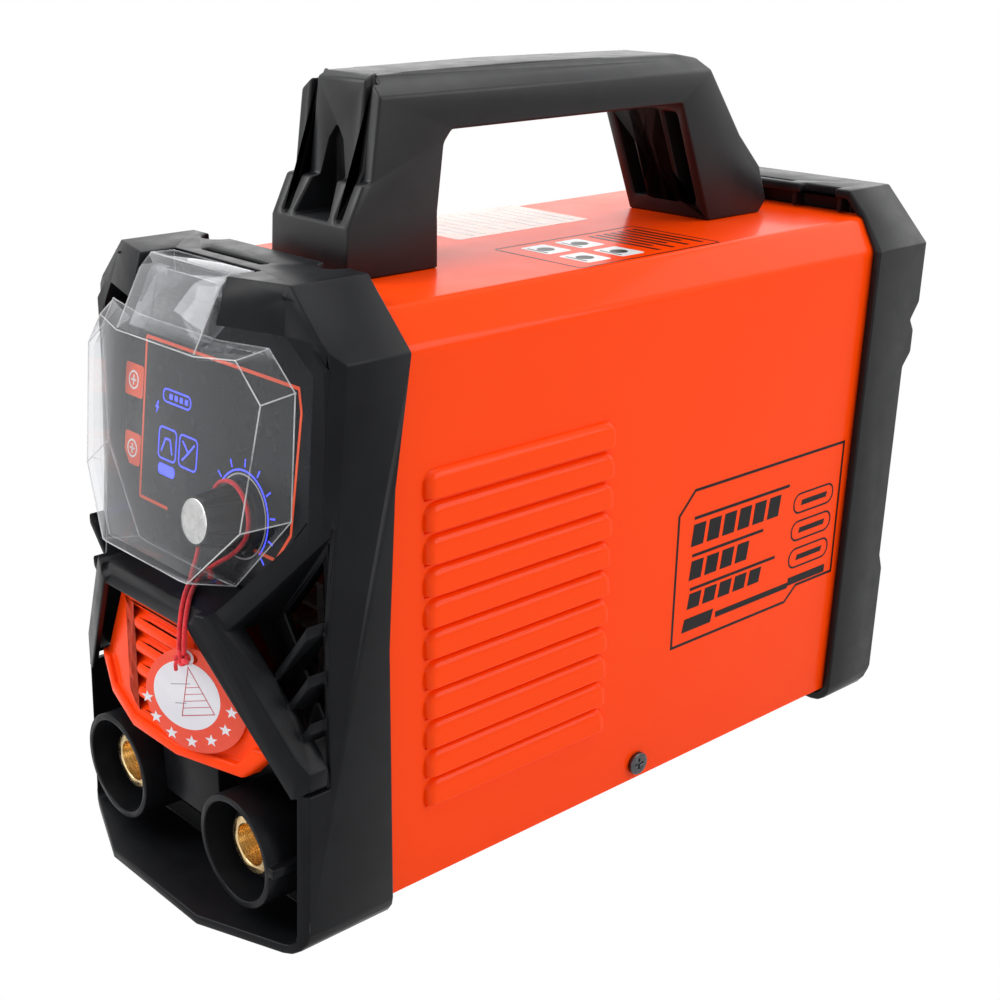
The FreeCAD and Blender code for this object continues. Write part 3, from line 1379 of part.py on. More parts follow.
def knot_centre():
    return Vector(tag_x - 0.9, tag_y - knot_radius - 1.0, tag_z + tag_hole + 0.8)


def inspection_tag():
    disc = cylinder(tag_x, tag_y, tag_z, tag_radius, tag_thickness, (0, 1, 0))
    disc = disc.cut(cylinder(tag_x, tag_y - 1, tag_z + tag_hole, 1.5, 3, (0, 1, 0)))
    disc.rotate(Vector(tag_x, tag_y, 0), Vector(0, 0, 1), tag_turn)
    return disc


def tag_knot():
    return Part.makeSphere(knot_radius, knot_centre()).cut(tag_cord())


def arc_corner(a, b, c):
    """Tangent arc that rounds the corner at b, as large as its two runs allow."""
    run_in, run_out = b - a, c - b
    half_turn = run_in.getAngle(run_out) / 2
    cut = 0.45 * min(run_in.Length, run_out.Length)
    radius = cut / math.tan(half_turn)
    p0, p1 = b - Vector(run_in).normalize() * cut, b + Vector(run_out).normalize() * cut
    inward = (Vector(run_out).normalize() - Vector(run_in).normalize()).normalize()
    centre = b + inward * (radius / math.cos(half_turn))
    middle = centre - inward * radius
    return p0, middle, p1, round(radius, 1)


def cord_route():
    """Corners of the cord's loop: from the knot, over the chin, round the knob and back to the knot."""
    normal = Vector(*panel_normal())
    up = Vector(0, normal.z, -normal.y)
    right = Vector(1, 0, 0)
    centre = Vector(*on_panel(knob_x, knob_z, cord_lift))
    drop = (cord_pass_z - centre.z) / up.z
    aside = cord_x - knob_x
    distance = math.hypot(aside, drop)
    foot_angle = math.atan2(drop, aside)
    wrap_half = math.pi - math.acos(cord_loop_radius / distance)
    step = 2 * wrap_half / cord_loop_corners
    reach = cord_loop_radius / math.cos(step / 2)
    loop = []
    for index in range(cord_loop_corners):
        angle = foot_angle + math.pi - wrap_half + step * (index + 0.5)
        loop.append(centre + right * (reach * math.cos(angle)) + up * (reach * math.sin(angle)))
    ends = []
    for side in (1, -1):
        edge_x = cord_edge_x + side * cord_spread
        x = cord_x + side * cord_spread
        foot = centre + up * drop
        knot = knot_centre() + Vector(side * cord_spread, 0, math.sqrt(knot_radius ** 2 - cord_spread ** 2))
        ends.append([knot, Vector(edge_x, fy(cord_pass_reach), cord_pass_z), Vector(x, foot.y, foot.z)])
    return ends[0] + loop + list(reversed(ends[1]))


def tag_cord():
    """The cord as straight runs joined by tangent arcs."""
    points = cord_route()
    edges, radii = [], []
    start = points[0]
    for a, b, c in zip(points, points[1:], points[2:]):
        p0, middle, p1, radius = arc_corner(a, b, c)
        radii.append(radius)
        edges.append(Part.LineSegment(start, p0).toShape())
        edges.append(Part.Arc(p0, middle, p1).toShape())
        start = p1
    edges.append(Part.LineSegment(start, points[-1]).toShape())
    wire = Part.Wire(edges)
    first = wire.Edges[0]
    circle = Part.Wire(Part.makeCircle(cord_radius, first.valueAt(first.FirstParameter),
                                       first.tangentAt(first.FirstParameter)))
    solid = wire.makePipeShell([circle], True, False, 1)
    print("tag_cord corners", [[round(v, 2) for v in p] for p in points])
    print("tag_cord length", round(wire.Length, 1), "bend radii", radii,
          "volume over length times section", round(solid.Volume / (math.pi * cord_radius ** 2 * wire.Length), 4))
    return solid


# ---------------------------------------------------------------------------------------------
# All nodes
# ---------------------------------------------------------------------------------------------
def main():
    os.makedirs("parts", exist_ok=True)
    save("front_frame", front_frame())
    save("rear_frame", rear_frame())
    save("outer_cover", outer_cover())
    save("base_tray", base_tray())
    save("handle", handle())
    save("handle_screws", handle_screws())
    save("clear_cover", clear_cover())
    save("cover_hinge_pins", cover_hinge_pins())
    save("front_insert", front_insert())
    save("control_panel", control_panel())
    save("panel_overlay", panel_overlay())
    save("display_module", display_module())
    board, posts = control_board()
    save("control_board", board)
    save("control_board_posts", posts)
    save("knob", knob())
    save("knob_cap", knob_cap())
    save("potentiometer", potentiometer())
    save("potentiometer_shaft", potentiometer_shaft())
    for side, x in (("left", -socket_x), ("right", socket_x)):
        save("socket_housing_" + side, socket_housing(x))
        save("socket_brass_" + side, socket_brass(x))
        save("busbar_" + side, busbar(x))
    save("socket_nuts", socket_nuts())
    save("rubber_feet", rubber_feet())
    save("cover_screws", cover_screws())
    save("frame_screws", frame_screws())
    save("rear_panel", rear_panel())
    save("fan_frame", fan_frame())
    save("fan_rotor", fan_rotor())
    save("fan_guard", fan_guard())
    save("fan_screws", fan_screws())
    save("mains_switch_body", mains_switch_body())
    save("mains_rocker", mains_rocker())
    save("cable_gland", cable_gland())
    save("gland_nut", gland_nut())
    save("earth_stud", earth_stud())
    save("earth_nuts", earth_nuts())
    save("insulating_sheet", insulating_sheet())
    save("board_standoffs", board_standoffs())
    save("main_board", main_board())
    edge = board_half()
    save("output_heatsink", heatsink(-edge, -sink_inner, output_row, output_sink_length, sink_height, 7))
    save("output_diodes", transistors(-sink_inner, output_row, output_sink_length, 2, 1))
    save("primary_heatsink_left", heatsink(-edge, -sink_inner, primary_row, primary_sink_length, sink_height, 7))
    save("primary_heatsink_right", heatsink(sink_inner, edge, primary_row, primary_sink_length, sink_height, 7))
    save("igbt_transistors", transistors(-sink_inner, primary_row, primary_sink_length, 2, 1)
         + transistors(sink_inner, primary_row, primary_sink_length, 2, -1))
    save("transformer_core", transformer_core())
    save("transformer_windings", transformer_windings())
    save("output_choke", output_choke())
    save("bulk_capacitors", bulk_capacitors())
    save("bridge_rectifier", bridge_rectifier())
    save("inspection_tag", inspection_tag())
    save("tag_knot", tag_knot())
    save("tag_cord", tag_cord())


if __name__ == "__main__":
    main()
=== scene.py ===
import json
import math

import bmesh
import bpy
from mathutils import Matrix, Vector

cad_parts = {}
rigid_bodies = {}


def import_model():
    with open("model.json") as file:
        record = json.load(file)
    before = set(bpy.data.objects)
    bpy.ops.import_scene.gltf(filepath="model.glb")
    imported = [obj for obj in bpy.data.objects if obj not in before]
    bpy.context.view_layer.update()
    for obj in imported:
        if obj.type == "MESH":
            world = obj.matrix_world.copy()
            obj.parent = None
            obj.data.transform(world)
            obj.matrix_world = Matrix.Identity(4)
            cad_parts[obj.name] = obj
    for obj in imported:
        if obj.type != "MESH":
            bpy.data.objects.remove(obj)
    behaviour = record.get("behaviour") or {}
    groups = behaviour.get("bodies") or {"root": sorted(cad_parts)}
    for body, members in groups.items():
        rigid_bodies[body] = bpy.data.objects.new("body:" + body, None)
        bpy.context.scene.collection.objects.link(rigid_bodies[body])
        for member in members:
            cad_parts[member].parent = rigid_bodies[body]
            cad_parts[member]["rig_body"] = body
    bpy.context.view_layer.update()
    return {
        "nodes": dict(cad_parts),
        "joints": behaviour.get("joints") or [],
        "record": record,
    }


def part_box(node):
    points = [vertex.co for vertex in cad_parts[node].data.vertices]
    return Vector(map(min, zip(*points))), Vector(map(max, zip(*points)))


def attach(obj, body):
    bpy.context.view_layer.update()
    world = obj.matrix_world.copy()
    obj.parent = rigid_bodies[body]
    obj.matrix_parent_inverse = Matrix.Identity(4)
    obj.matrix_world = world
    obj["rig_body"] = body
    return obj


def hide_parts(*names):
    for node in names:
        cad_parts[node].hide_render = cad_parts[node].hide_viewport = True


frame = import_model()
NODES = frame["nodes"]
MM = 0.001

# ------------------------------------------------------------------------------------------
# Camera, at the photograph's viewing angle
# ------------------------------------------------------------------------------------------
AZIMUTH, ELEVATION = math.radians(49.226), math.radians(23.40)
cam_data = bpy.data.cameras.new("camera")
cam_data.sensor_width = 36.0
cam_data.lens = 56.257
cam_data.shift_x = 0.0618
cam_data.shift_y = 0.101
cam_data.clip_start, cam_data.clip_end = 0.02, 20.0
camera = bpy.data.objects.new("camera", cam_data)
camera.location = (0.3689, -0.3473, 0.2797)
BACK = Vector((math.sin(AZIMUTH) * math.cos(ELEVATION), -math.cos(AZIMUTH) * math.cos(ELEVATION),
               math.sin(ELEVATION)))
camera.rotation_mode = "QUATERNION"
camera.rotation_quaternion = (-BACK).to_track_quat("-Z", "Y")
bpy.context.scene.collection.objects.link(camera)
bpy.context.scene.camera = camera


# ------------------------------------------------------------------------------------------
# Materials
# ------------------------------------------------------------------------------------------
class Nodes:
    """Short way to write a node tree round one Principled shader."""

    def __init__(self, name):
        self.mat = bpy.data.materials.new(name)
        self.mat.use_nodes = True
        self.tree = self.mat.node_tree
        self.bsdf = self.tree.nodes["Principled BSDF"]
        self.out = self.tree.nodes["Material Output"]
        coords = self.tree.nodes.new("ShaderNodeTexCoord")
        self.place = coords.outputs["Object"]

    def add(self, kind, **values):
        """A new node, with its properties and inputs set by name."""
        node = self.tree.nodes.new(kind)
        for key, value in values.items():
            if key in node.inputs:
                node.inputs[key].default_value = value
            else:
                setattr(node, key, value)
        return node

    def link(self, a, b):
        self.tree.links.new(a, b)

    def stretched(self, scale):
        node = self.add("ShaderNodeMapping")
        node.inputs["Scale"].default_value = scale
        self.link(self.place, node.inputs["Vector"])
        return node.outputs["Vector"]

    def noise(self, scale, detail=3.0, rough=0.55, vector=None):
        node = self.add("ShaderNodeTexNoise", Scale=scale, Detail=detail, Roughness=rough)
        self.link(vector or self.place, node.inputs["Vector"])
        return node.outputs["Fac"]

    def spread(self, fac, low, high, from_low=0.3, from_high=0.7):
        """fac between from_low and from_high, brought to between low and high."""
        node = self.add("ShaderNodeMapRange")
        node.inputs["From Min"].default_value = from_low
        node.inputs["From Max"].default_value = from_high
        node.inputs["To Min"].default_value = low
        node.inputs["To Max"].default_value = high
        self.link(fac, node.inputs["Value"])
        return node.outputs["Result"]

    def mix(self, fac, a, b):
        node = self.add("ShaderNodeMix", data_type="RGBA")
        colours = [s for s in node.inputs if s.type == "RGBA"]
        self.link(fac, node.inputs["Factor"])
        for socket, value in zip(colours, (a, b)):
            socket.default_value = value + (1.0,)
        return [s for s in node.outputs if s.type == "RGBA"][0]

    def bump(self, height, strength, distance, normal=None):
        node = self.add("ShaderNodeBump", Strength=strength, Distance=distance)
        self.link(height, node.inputs["Height"])
        if normal is not None:
            self.link(normal, node.inputs["Normal"])
        return node.outputs["Normal"]

    def base(self, a, b, scale, low=0.35, high=0.65, detail=3.0):
        fac = self.spread(self.noise(scale, detail), 0.0, 1.0, low, high)
        self.link(self.mix(fac, a, b), self.bsdf.inputs["Base Color"])

    def rough(self, low, high, scale, detail=4.0, vector=None):
        fac = self.noise(scale, detail, 0.6, vector)
        self.link(self.spread(fac, low, high), self.bsdf.inputs["Roughness"])

    def grain(self, scale, strength, distance, detail=2.0, vector=None):
        height = self.noise(scale, detail, 0.5, vector)
        self.link(self.bump(height, strength, distance), self.bsdf.inputs["Normal"])

    def set(self, **values):
        for key, value in values.items():
            self.bsdf.inputs[key.replace("_", " ")].default_value = value
        return self.mat


def plastic(name, dark, light, roughness=(0.40, 0.52), grain=0.10, scale=2600.0, **more):
    n = Nodes(name)
    n.base(dark, light, 60.0)
    n.rough(roughness[0], roughness[1], 140.0)
    n.grain(scale, grain, 0.0002)
    return n.set(**more)


def metal(name, dark, light, roughness=(0.22, 0.38), stretch=(1, 1, 1), scale=300.0, **more):
    n = Nodes(name)
    line = n.stretched(stretch)
    fac = n.spread(n.noise(scale, 4.0, 0.6, line), 0.0, 1.0)
    n.link(n.mix(fac, dark, light), n.bsdf.inputs["Base Color"])
    n.rough(roughness[0], roughness[1], scale * 1.7, 4.0, line)
    n.grain(scale * 2.0, 0.05, 0.0002, 2.0, line)
    return n.set(Metallic=1.0, **more)


def paint(name, colour, deep):
    """Powder-coated sheet: faint orange peel under a thin gloss."""
    n = Nodes(name)
    n.base(deep, colour, 9.0, 0.3, 0.7)
    n.rough(0.30, 0.36, 60.0)
    peel = n.bump(n.noise(520.0, 2.0, 0.5), 0.006, 0.0004)
    n.link(n.bump(n.noise(2400.0, 2.0, 0.5), 0.004, 0.0002, peel), n.bsdf.inputs["Normal"])
    return n.set(Coat_Weight=0.16, Coat_Roughness=0.10, Specular_IOR_Level=0.04)


NECK_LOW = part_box("clear_cover")[1].z - 0.020       # height from which the clear cover turns cloudy


def clear(name):
    """Clear moulded plastic: mostly see-through, glossier where seen edge-on, hazy at its neck."""
    n = Nodes(name)
    n.rough(0.02, 0.06, 90.0)
    ripple = n.bump(n.noise(30.0, 2.0, 0.5), 0.03, 0.0010)
    n.link(ripple, n.bsdf.inputs["Normal"])
    n.set(Base_Color=(0.92, 0.93, 0.95, 1.0), Metallic=1.0)
    through = n.add("ShaderNodeBsdfTransparent", Color=(0.955, 0.96, 0.965, 1.0))
    haze = n.add("ShaderNodeBsdfDiffuse", Color=(0.85, 0.86, 0.88, 1.0))
    hazed = n.add("ShaderNodeMixShader")
    height = n.add("ShaderNodeSeparateXYZ")
    n.link(n.place, height.inputs[0])
    neck = n.spread(height.outputs["Z"], 0.0, 0.10, NECK_LOW, NECK_LOW + 0.006)
    cloud = n.add("ShaderNodeMath", operation="ADD")
    n.link(n.spread(n.noise(14.0, 3.0), 0.002, 0.014), cloud.inputs[0])
    n.link(neck, cloud.inputs[1])
    n.link(cloud.outputs[0], hazed.inputs[0])
    n.link(through.outputs[0], hazed.inputs[1])
    n.link(haze.outputs[0], hazed.inputs[2])
    edge = n.add("ShaderNodeLayerWeight", Blend=0.5)
    n.link(ripple, edge.inputs["Normal"])
    steep = n.add("ShaderNodeMath", operation="POWER")
    steep.inputs[1].default_value = 4.0
    n.link(edge.outputs["Facing"], steep.inputs[0])
    mixed = n.add("ShaderNodeMixShader")
    n.link(n.spread(steep.outputs[0], 0.028, 0.75, 0.0, 1.0), mixed.inputs[0])
    n.link(hazed.outputs[0], mixed.inputs[1])
    n.link(n.bsdf.outputs[0], mixed.inputs[2])
    n.link(mixed.outputs[0], n.out.inputs["Surface"])
    return n.mat


def edge_highlight_material(name):
    """Pale, partly see-through material for the tubes along the clear cover's edges: a painted highlight
    for the light its moulded edges gather.
    """
    n = Nodes(name)
    n.rough(0.08, 0.2, 120.0)
    n.grain(60.0, 0.15, 0.001)
    n.set(Base_Color=(0.80, 0.80, 0.80, 1.0), Specular_IOR_Level=0.8)
    through = n.add("ShaderNodeBsdfTransparent", Color=(0.95, 0.95, 0.96, 1.0))
    mixed = n.add("ShaderNodeMixShader")
    n.link(n.spread(n.noise(55.0, 3.0), 0.10, 0.72), mixed.inputs[0])
    n.link(through.outputs[0], mixed.inputs[1])
    n.link(n.bsdf.outputs[0], mixed.inputs[2])
    n.link(mixed.outputs[0], n.out.inputs["Surface"])
    return n.mat


# Emissive print: the emission is painted glow, for marks that are no lamp.
def glow(name, colour, strength):
    n = Nodes(name)
    n.rough(0.25, 0.4, 200.0)
    n.base(tuple(c * 0.5 for c in colour), colour, 400.0)
    return n.set(Emission_Color=colour + (1.0,), Emission_Strength=strength)


def cloth(name, dark, light, scale=1800.0):
    n = Nodes(name)
    n.base(dark, light, 700.0)
    n.rough(0.7, 0.9, 500.0)
    n.grain(scale, 0.5, 0.0004)
    return n.set(Sheen_Weight=0.25)


BLACK = (0.0060, 0.0063, 0.0074), (0.0090, 0.0095, 0.0110)
ORANGE, ORANGE_DEEP = (0.96, 0.060, 0.001), (0.95, 0.057, 0.001)
MAT = {
    "black_plastic": plastic("black_plastic", *BLACK, (0.34, 0.44), 0.05, Specular_IOR_Level=0.28),
    "rear_black": plastic("rear_black", *BLACK, (0.34, 0.44), 0.05, Specular_IOR_Level=0.18),
    # darker, less glossy black for the front frame and socket housings: painted shade
    "shaded_frame_black": plastic("shaded_frame_black", (0.0050, 0.0053, 0.0064), (0.0076, 0.0081, 0.0096), (0.30, 0.40),
                           0.05, Specular_IOR_Level=0.11),
    "orange_paint": paint("orange_paint", ORANGE, ORANGE_DEEP),
    "zinc_steel": metal("zinc_steel", (0.45, 0.46, 0.47), (0.66, 0.66, 0.65), (0.28, 0.45)),
    "screw_steel": metal("screw_steel", (0.05, 0.05, 0.055), (0.13, 0.13, 0.135), (0.3, 0.42)),
    "clear_plastic": clear("clear_plastic"),
    "painted_edge_highlight": edge_highlight_material("painted_edge_highlight"),
    "orange_plastic": plastic("orange_plastic", (0.94, 0.050, 0.002), (0.97, 0.058, 0.003), (0.26, 0.32),
                              0.02, Specular_IOR_Level=0.08, Subsurface_Weight=0.08,
                              Subsurface_Radius=(0.004, 0.001, 0.0005)),
    "panel_grey": plastic("panel_grey", (0.012, 0.013, 0.015), (0.016, 0.017, 0.020), (0.22, 0.30),
                          0.002, Specular_IOR_Level=0.15),
    "display_dark": plastic("display_dark", (0.020, 0.021, 0.028), (0.030, 0.031, 0.040),
                            (0.12, 0.18), 0.02),
    "board_green": plastic("board_green", (0.012, 0.09, 0.035), (0.025, 0.14, 0.05), (0.3, 0.45),
                           0.1, 900.0),
    "knob_black": plastic("knob_black", (0.009, 0.009, 0.010), (0.014, 0.014, 0.015), (0.24, 0.34), 0.05,
                          Specular_IOR_Level=0.2),
    "cap_aluminium": metal("cap_aluminium", (0.60, 0.59, 0.57), (0.86, 0.85, 0.82), (0.18, 0.30),
                           Anisotropic=0.7),
    "brass": metal("brass", (0.60, 0.40, 0.18), (0.86, 0.66, 0.36), (0.16, 0.32), (1, 6, 1), 220.0),
    "copper": metal("copper", (0.62, 0.30, 0.18), (0.80, 0.45, 0.30), (0.25, 0.4)),
    "rubber": plastic("rubber", (0.012, 0.012, 0.012), (0.022, 0.021, 0.021), (0.65, 0.82), 0.25, 1200.0),
    "rear_sheet": plastic("rear_sheet", (0.012, 0.012, 0.013), (0.018, 0.018, 0.019), (0.34, 0.46),
                          0.08, 900.0, Specular_IOR_Level=0.2),
    "fan_black": plastic("fan_black", (0.010, 0.010, 0.011), (0.016, 0.016, 0.017), (0.35, 0.5), 0.08,
                         Specular_IOR_Level=0.2),
    "guard_chrome": metal("guard_chrome", (0.70, 0.71, 0.72), (0.86, 0.86, 0.86), (0.10, 0.22)),
    "rocker_red": plastic("rocker_red", (0.45, 0.010, 0.008), (0.55, 0.018, 0.012), (0.18, 0.26), 0.03),
    "sheet_paper": cloth("sheet_paper", (0.55, 0.53, 0.44), (0.68, 0.66, 0.57), 900.0),
    "nylon": plastic("nylon", (0.62, 0.61, 0.56), (0.74, 0.73, 0.68), (0.35, 0.5), 0.06),
    "sink_aluminium": metal("sink_aluminium", (0.52, 0.53, 0.55), (0.74, 0.75, 0.76), (0.3, 0.45),
                            (1, 0.1, 1)),
    "epoxy": plastic("epoxy", (0.014, 0.014, 0.014), (0.026, 0.026, 0.027), (0.5, 0.65), 0.2, 1400.0),
    "ferrite": plastic("ferrite", (0.04, 0.04, 0.043), (0.075, 0.075, 0.08), (0.45, 0.62), 0.25, 900.0),
    "winding": plastic("winding", (0.35, 0.13, 0.03), (0.52, 0.22, 0.06), (0.25, 0.4), 0.4, 260.0),
    "capacitor_sleeve": plastic("capacitor_sleeve", (0.012, 0.02, 0.07), (0.02, 0.03, 0.10),
                                (0.2, 0.3), 0.03),
    "tag_card": plastic("tag_card", (0.80, 0.060, 0.022), (0.88, 0.080, 0.030), (0.45, 0.6), 0.08, 700.0),
    "cord_red": cloth("cord_red", (0.55, 0.004, 0.012), (0.80, 0.010, 0.022)),
    "choke_yellow": plastic("choke_yellow", (0.42, 0.33, 0.03), (0.56, 0.46, 0.05), (0.35, 0.5),
                            0.1, 800.0),
    "ink": plastic("ink", (0.004, 0.003, 0.003), (0.008, 0.006, 0.006), (0.30, 0.38), 0.02,
                   Specular_IOR_Level=0.15),
    "ink_white": plastic("ink_white", (0.78, 0.78, 0.80), (0.86, 0.86, 0.87), (0.28, 0.36), 0.03),
    # grey print, also used for the painted highlight ring round the knob
    "grey_print_and_highlight": plastic("grey_print_and_highlight", (0.42, 0.40, 0.42), (0.52, 0.50, 0.51), (0.28, 0.36), 0.03),
    "ink_orange": plastic("ink_orange", (0.84, 0.085, 0.022), (0.92, 0.105, 0.030), (0.3, 0.4), 0.03),
    "label_pale": plastic("label_pale", (0.62, 0.36, 0.30), (0.70, 0.44, 0.37), (0.22, 0.30), 0.03),
    # blue print with a painted glow
    "blue_print_painted_glow": glow("blue_print_painted_glow", (0.06, 0.08, 1.0), 1.6),
    "card_white": plastic("card_white", (0.72, 0.71, 0.76), (0.80, 0.79, 0.83), (0.5, 0.62), 0.06, 500.0),
    "tag_ink": plastic("tag_ink", (0.45, 0.05, 0.07), (0.55, 0.08, 0.10), (0.5, 0.6), 0.04),
    "tag_grey": plastic("tag_grey", (0.20, 0.20, 0.22), (0.26, 0.26, 0.28), (0.5, 0.6), 0.04),
}


# ------------------------------------------------------------------------------------------
# Making pieces
# ------------------------------------------------------------------------------------------
def link(obj, material, body="housing", smooth_angle=None):
    obj.data.materials.clear()
    obj.data.materials.append(MAT[material])
    if obj.name not in bpy.context.scene.collection.objects:
        bpy.context.scene.collection.objects.link(obj)
    if smooth_angle is not None:
        bpy.context.view_layer.objects.active = obj
        for other in bpy.context.selected_objects:
            other.select_set(False)
        obj.select_set(True)
        bpy.ops.object.shade_smooth_by_angle(angle=math.radians(smooth_angle))
    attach(obj, body)
    return obj


def from_bmesh(bm, name, material, body, smooth_angle):
    bmesh.ops.recalc_face_normals(bm, faces=bm.faces)
    mesh = bpy.data.meshes.new(name)
    bm.to_mesh(mesh)
    bm.free()
    return link(bpy.data.objects.new(name, mesh), material, body, smooth_angle)


def apply_modifiers(obj):
    graph = bpy.context.evaluated_depsgraph_get()
    made = bpy.data.meshes.new_from_object(obj.evaluated_get(graph))
    obj.modifiers.clear()
    obj.data = made


def cad_mesh(node):
    """The CAD node's mesh as joined flat faces."""
    bm = bmesh.new()
    bm.from_mesh(NODES[node].data)
    bmesh.ops.remove_doubles(bm, verts=bm.verts, dist=2e-6)
    bmesh.ops.dissolve_degenerate(bm, edges=bm.edges, dist=2e-6)
    bmesh.ops.dissolve_limit(bm, angle_limit=math.radians(1.0), verts=bm.verts, edges=bm.edges,
                             delimit={"NORMAL"})
    return bm


def body_of(node):
    return NODES[node]["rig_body"]


def slot_of(node):
    for part in frame["record"]["subparts"]:
        if part["node"] == node:
            return part["material_slot"]
    return None


SHARP = 28.0                # edges that turn by more than this many degrees are rounded


def moulded(node, radius, segments, material=None):
    """A copy of a CAD node whose edges are rounded, in place of the node."""
    bm = cad_mesh(node)
    mesh = bpy.data.meshes.new(node + "_look")
    bm.to_mesh(mesh)
    bm.free()
    obj = bpy.data.objects.new(node + "_look", mesh)
    bpy.context.scene.collection.objects.link(obj)
    bevel = obj.modifiers.new("edges", "BEVEL")
    bevel.width = radius * MM
    bevel.segments = segments
    bevel.limit_method = "ANGLE"
    bevel.angle_limit = math.radians(SHARP)
    bevel.use_clamp_overlap = False
    bevel.miter_outer = "MITER_ARC"
    bevel.harden_normals = False
    apply_modifiers(obj)
    low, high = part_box(node)
    for vertex in obj.data.vertices:            # a bevel's sharp mitres stay inside the node's own box
        vertex.co = [min(max(value, least), most) for value, least, most in zip(vertex.co, low, high)]
    slot = slot_of(node)
    link(obj, material or slot, body_of(node), 35.0)
    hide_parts(node)


def sheet(name, loops, place, thickness, material):
    """Thin printed shapes: each loop of (u, v) points in mm becomes a plate of this thickness."""
    bm = bmesh.new()
    for loop in loops:
        top = [bm.verts.new(place(u, v, thickness)) for u, v in loop]
        low = [bm.verts.new(place(u, v, 0.0)) for u, v in loop]
        bm.faces.new(top)
        for i in range(len(loop)):
            j = (i + 1) % len(loop)
            bm.faces.new((top[i], top[j], low[j], low[i]))
    from_bmesh(bm, name, material, "housing", None)


def stroke(points, width, closed=False):
    """Quads along a polyline, mitred at its corners."""
    pts = [Vector((p[0], p[1])) for p in points]
    count = len(pts)
    sides = []
    for i, p in enumerate(pts):
        before = pts[i - 1] if closed or i > 0 else None
        after = pts[(i + 1) % count] if closed or i < count - 1 else None
        d0 = (p - before).normalized() if before is not None else (after - p).normalized()
        d1 = (after - p).normalized() if after is not None else d0
        n0, n1 = Vector((-d0.y, d0.x)), Vector((-d1.y, d1.x))
        miter = (n0 + n1).normalized()
        reach = width / 2 / max(0.35, miter.dot(n0))
        sides.append((p + miter * reach, p - miter * reach))
    out = []
    for i in range(count if closed else count - 1):
        a, b = sides[i], sides[(i + 1) % count]
        out.append([tuple(a[0]), tuple(b[0]), tuple(b[1]), tuple(a[1])])
    return out


def disc(u, v, radius, steps=40):
    angles = [2 * math.pi * i / steps for i in range(steps)]
    return [(u + radius * math.cos(a), v + radius * math.sin(a)) for a in angles]


def arc(u, v, radius, a0, a1, steps=18):
    return [(u + radius * math.cos(math.radians(a0 + (a1 - a0) * i / steps)),
             v + radius * math.sin(math.radians(a0 + (a1 - a0) * i / steps))) for i in range(steps + 1)]


def rounded(u0, v0, u1, v1, radius, steps=4):
    """Rounded rectangle."""
    out = []
    for cu, cv, start in ((u1 - radius, v1 - radius, 0), (u0 + radius, v1 - radius, 90),
                          (u0 + radius, v0 + radius, 180), (u1 - radius, v0 + radius, 270)):
        out += arc(cu, cv, radius, start, start + 90, steps)
    return out


def rect(u0, v0, u1, v1, slant=0.0):
    return [(u0, v0), (u1, v0), (u1 + slant, v1), (u0 + slant, v1)]


def star(u, v, radius, inner=0.42, points=5):
    return [(u + (radius if i % 2 == 0 else radius * inner) * math.sin(math.pi * i / points),
             v + (radius if i % 2 == 0 else radius * inner) * math.cos(math.pi * i / points))
            for i in range(2 * points)]


def bolt(u, v, size):
    """Lightning pictogram."""
    shape = [(0.10, 1.0), (-0.55, -0.08), (-0.08, -0.08), (-0.22, -1.0), (0.50, 0.18), (0.06, 0.18),
             (0.38, 1.0)]
    return [(u + x * size, v + y * size) for x, y in shape]


def lathe(name, profile, centre, axis, material, body, steps, smooth_angle, reach=None):
    """Turned piece: profile of (radius, height) in mm; reach(angle, radius, height) may change a radius."""
    turn = Vector((0, 0, 1)).rotation_difference(Vector(axis)).to_matrix()
    bm = bmesh.new()
    rings = []
    for radius, height in profile:
        ring = []
        for i in range(steps):
            angle = 2 * math.pi * i / steps
            r = reach(angle, radius, height) if reach else radius
            spot = turn @ Vector((r * math.cos(angle), r * math.sin(angle), height)) * MM
            ring.append(bm.verts.new(Vector(centre) + spot))
        rings.append(ring)
    for a, b in zip(rings, rings[1:]):
        for i in range(steps):
            j = (i + 1) % steps
            bm.faces.new((a[i], a[j], b[j], b[i]))
    bm.faces.new(rings[0])
    bm.faces.new(rings[-1])
    return from_bmesh(bm, name, material, body, smooth_angle)


def round_curve(name, radius, section, steps):
    """Curve with a round section, whose resolutions are those across and along it."""
    curve = bpy.data.curves.new(name, "CURVE")
    curve.dimensions = "3D"
    curve.bevel_depth = radius
    curve.bevel_resolution = section
    curve.resolution_u = steps
    curve.use_fill_caps = True
    return curve


# ------------------------------------------------------------------------------------------
# Places taken from the frame
# ------------------------------------------------------------------------------------------
def front_plane(node):
    """Centre and outward normal of the node's largest face that looks forward."""
    bm = cad_mesh(node)
    faces = [f for f in bm.faces if f.normal.y < -0.3]
    face = max(faces, key=lambda f: f.calc_area())
    found = face.calc_center_median(), face.normal.copy()
    bm.free()
    return found


COVER_LOW, COVER_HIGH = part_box("outer_cover")
COVER_TUCK = 8.0 * MM                       # the sheet runs on this far inside each frame
COVER_FRONT = COVER_LOW.y + COVER_TUCK
COVER_REAR = COVER_HIGH.y - COVER_TUCK
COVER_TOP = COVER_HIGH.z
SIDE_X = 57.1 * MM                          # outside of the cover's flat sides, between the louvres
PANEL_AT, PANEL_NORMAL = front_plane("panel_overlay")
KNOB_JOINT = next(j for j in frame["joints"] if j["name"] == "knob_turn")
KNOB_AT, KNOB_AXIS = Vector(KNOB_JOINT["pos_m"]), Vector(KNOB_JOINT["axis"]).normalized()


def on_side(u, v, t):
    """u mm behind the cover's front edge, v mm above the floor, t mm off the right side."""
    return Vector((SIDE_X + t * MM, COVER_FRONT + u * MM, v * MM))


PRINT_SHIFT = 117.6         # brings the left side's print behind its louvres, as on the right side


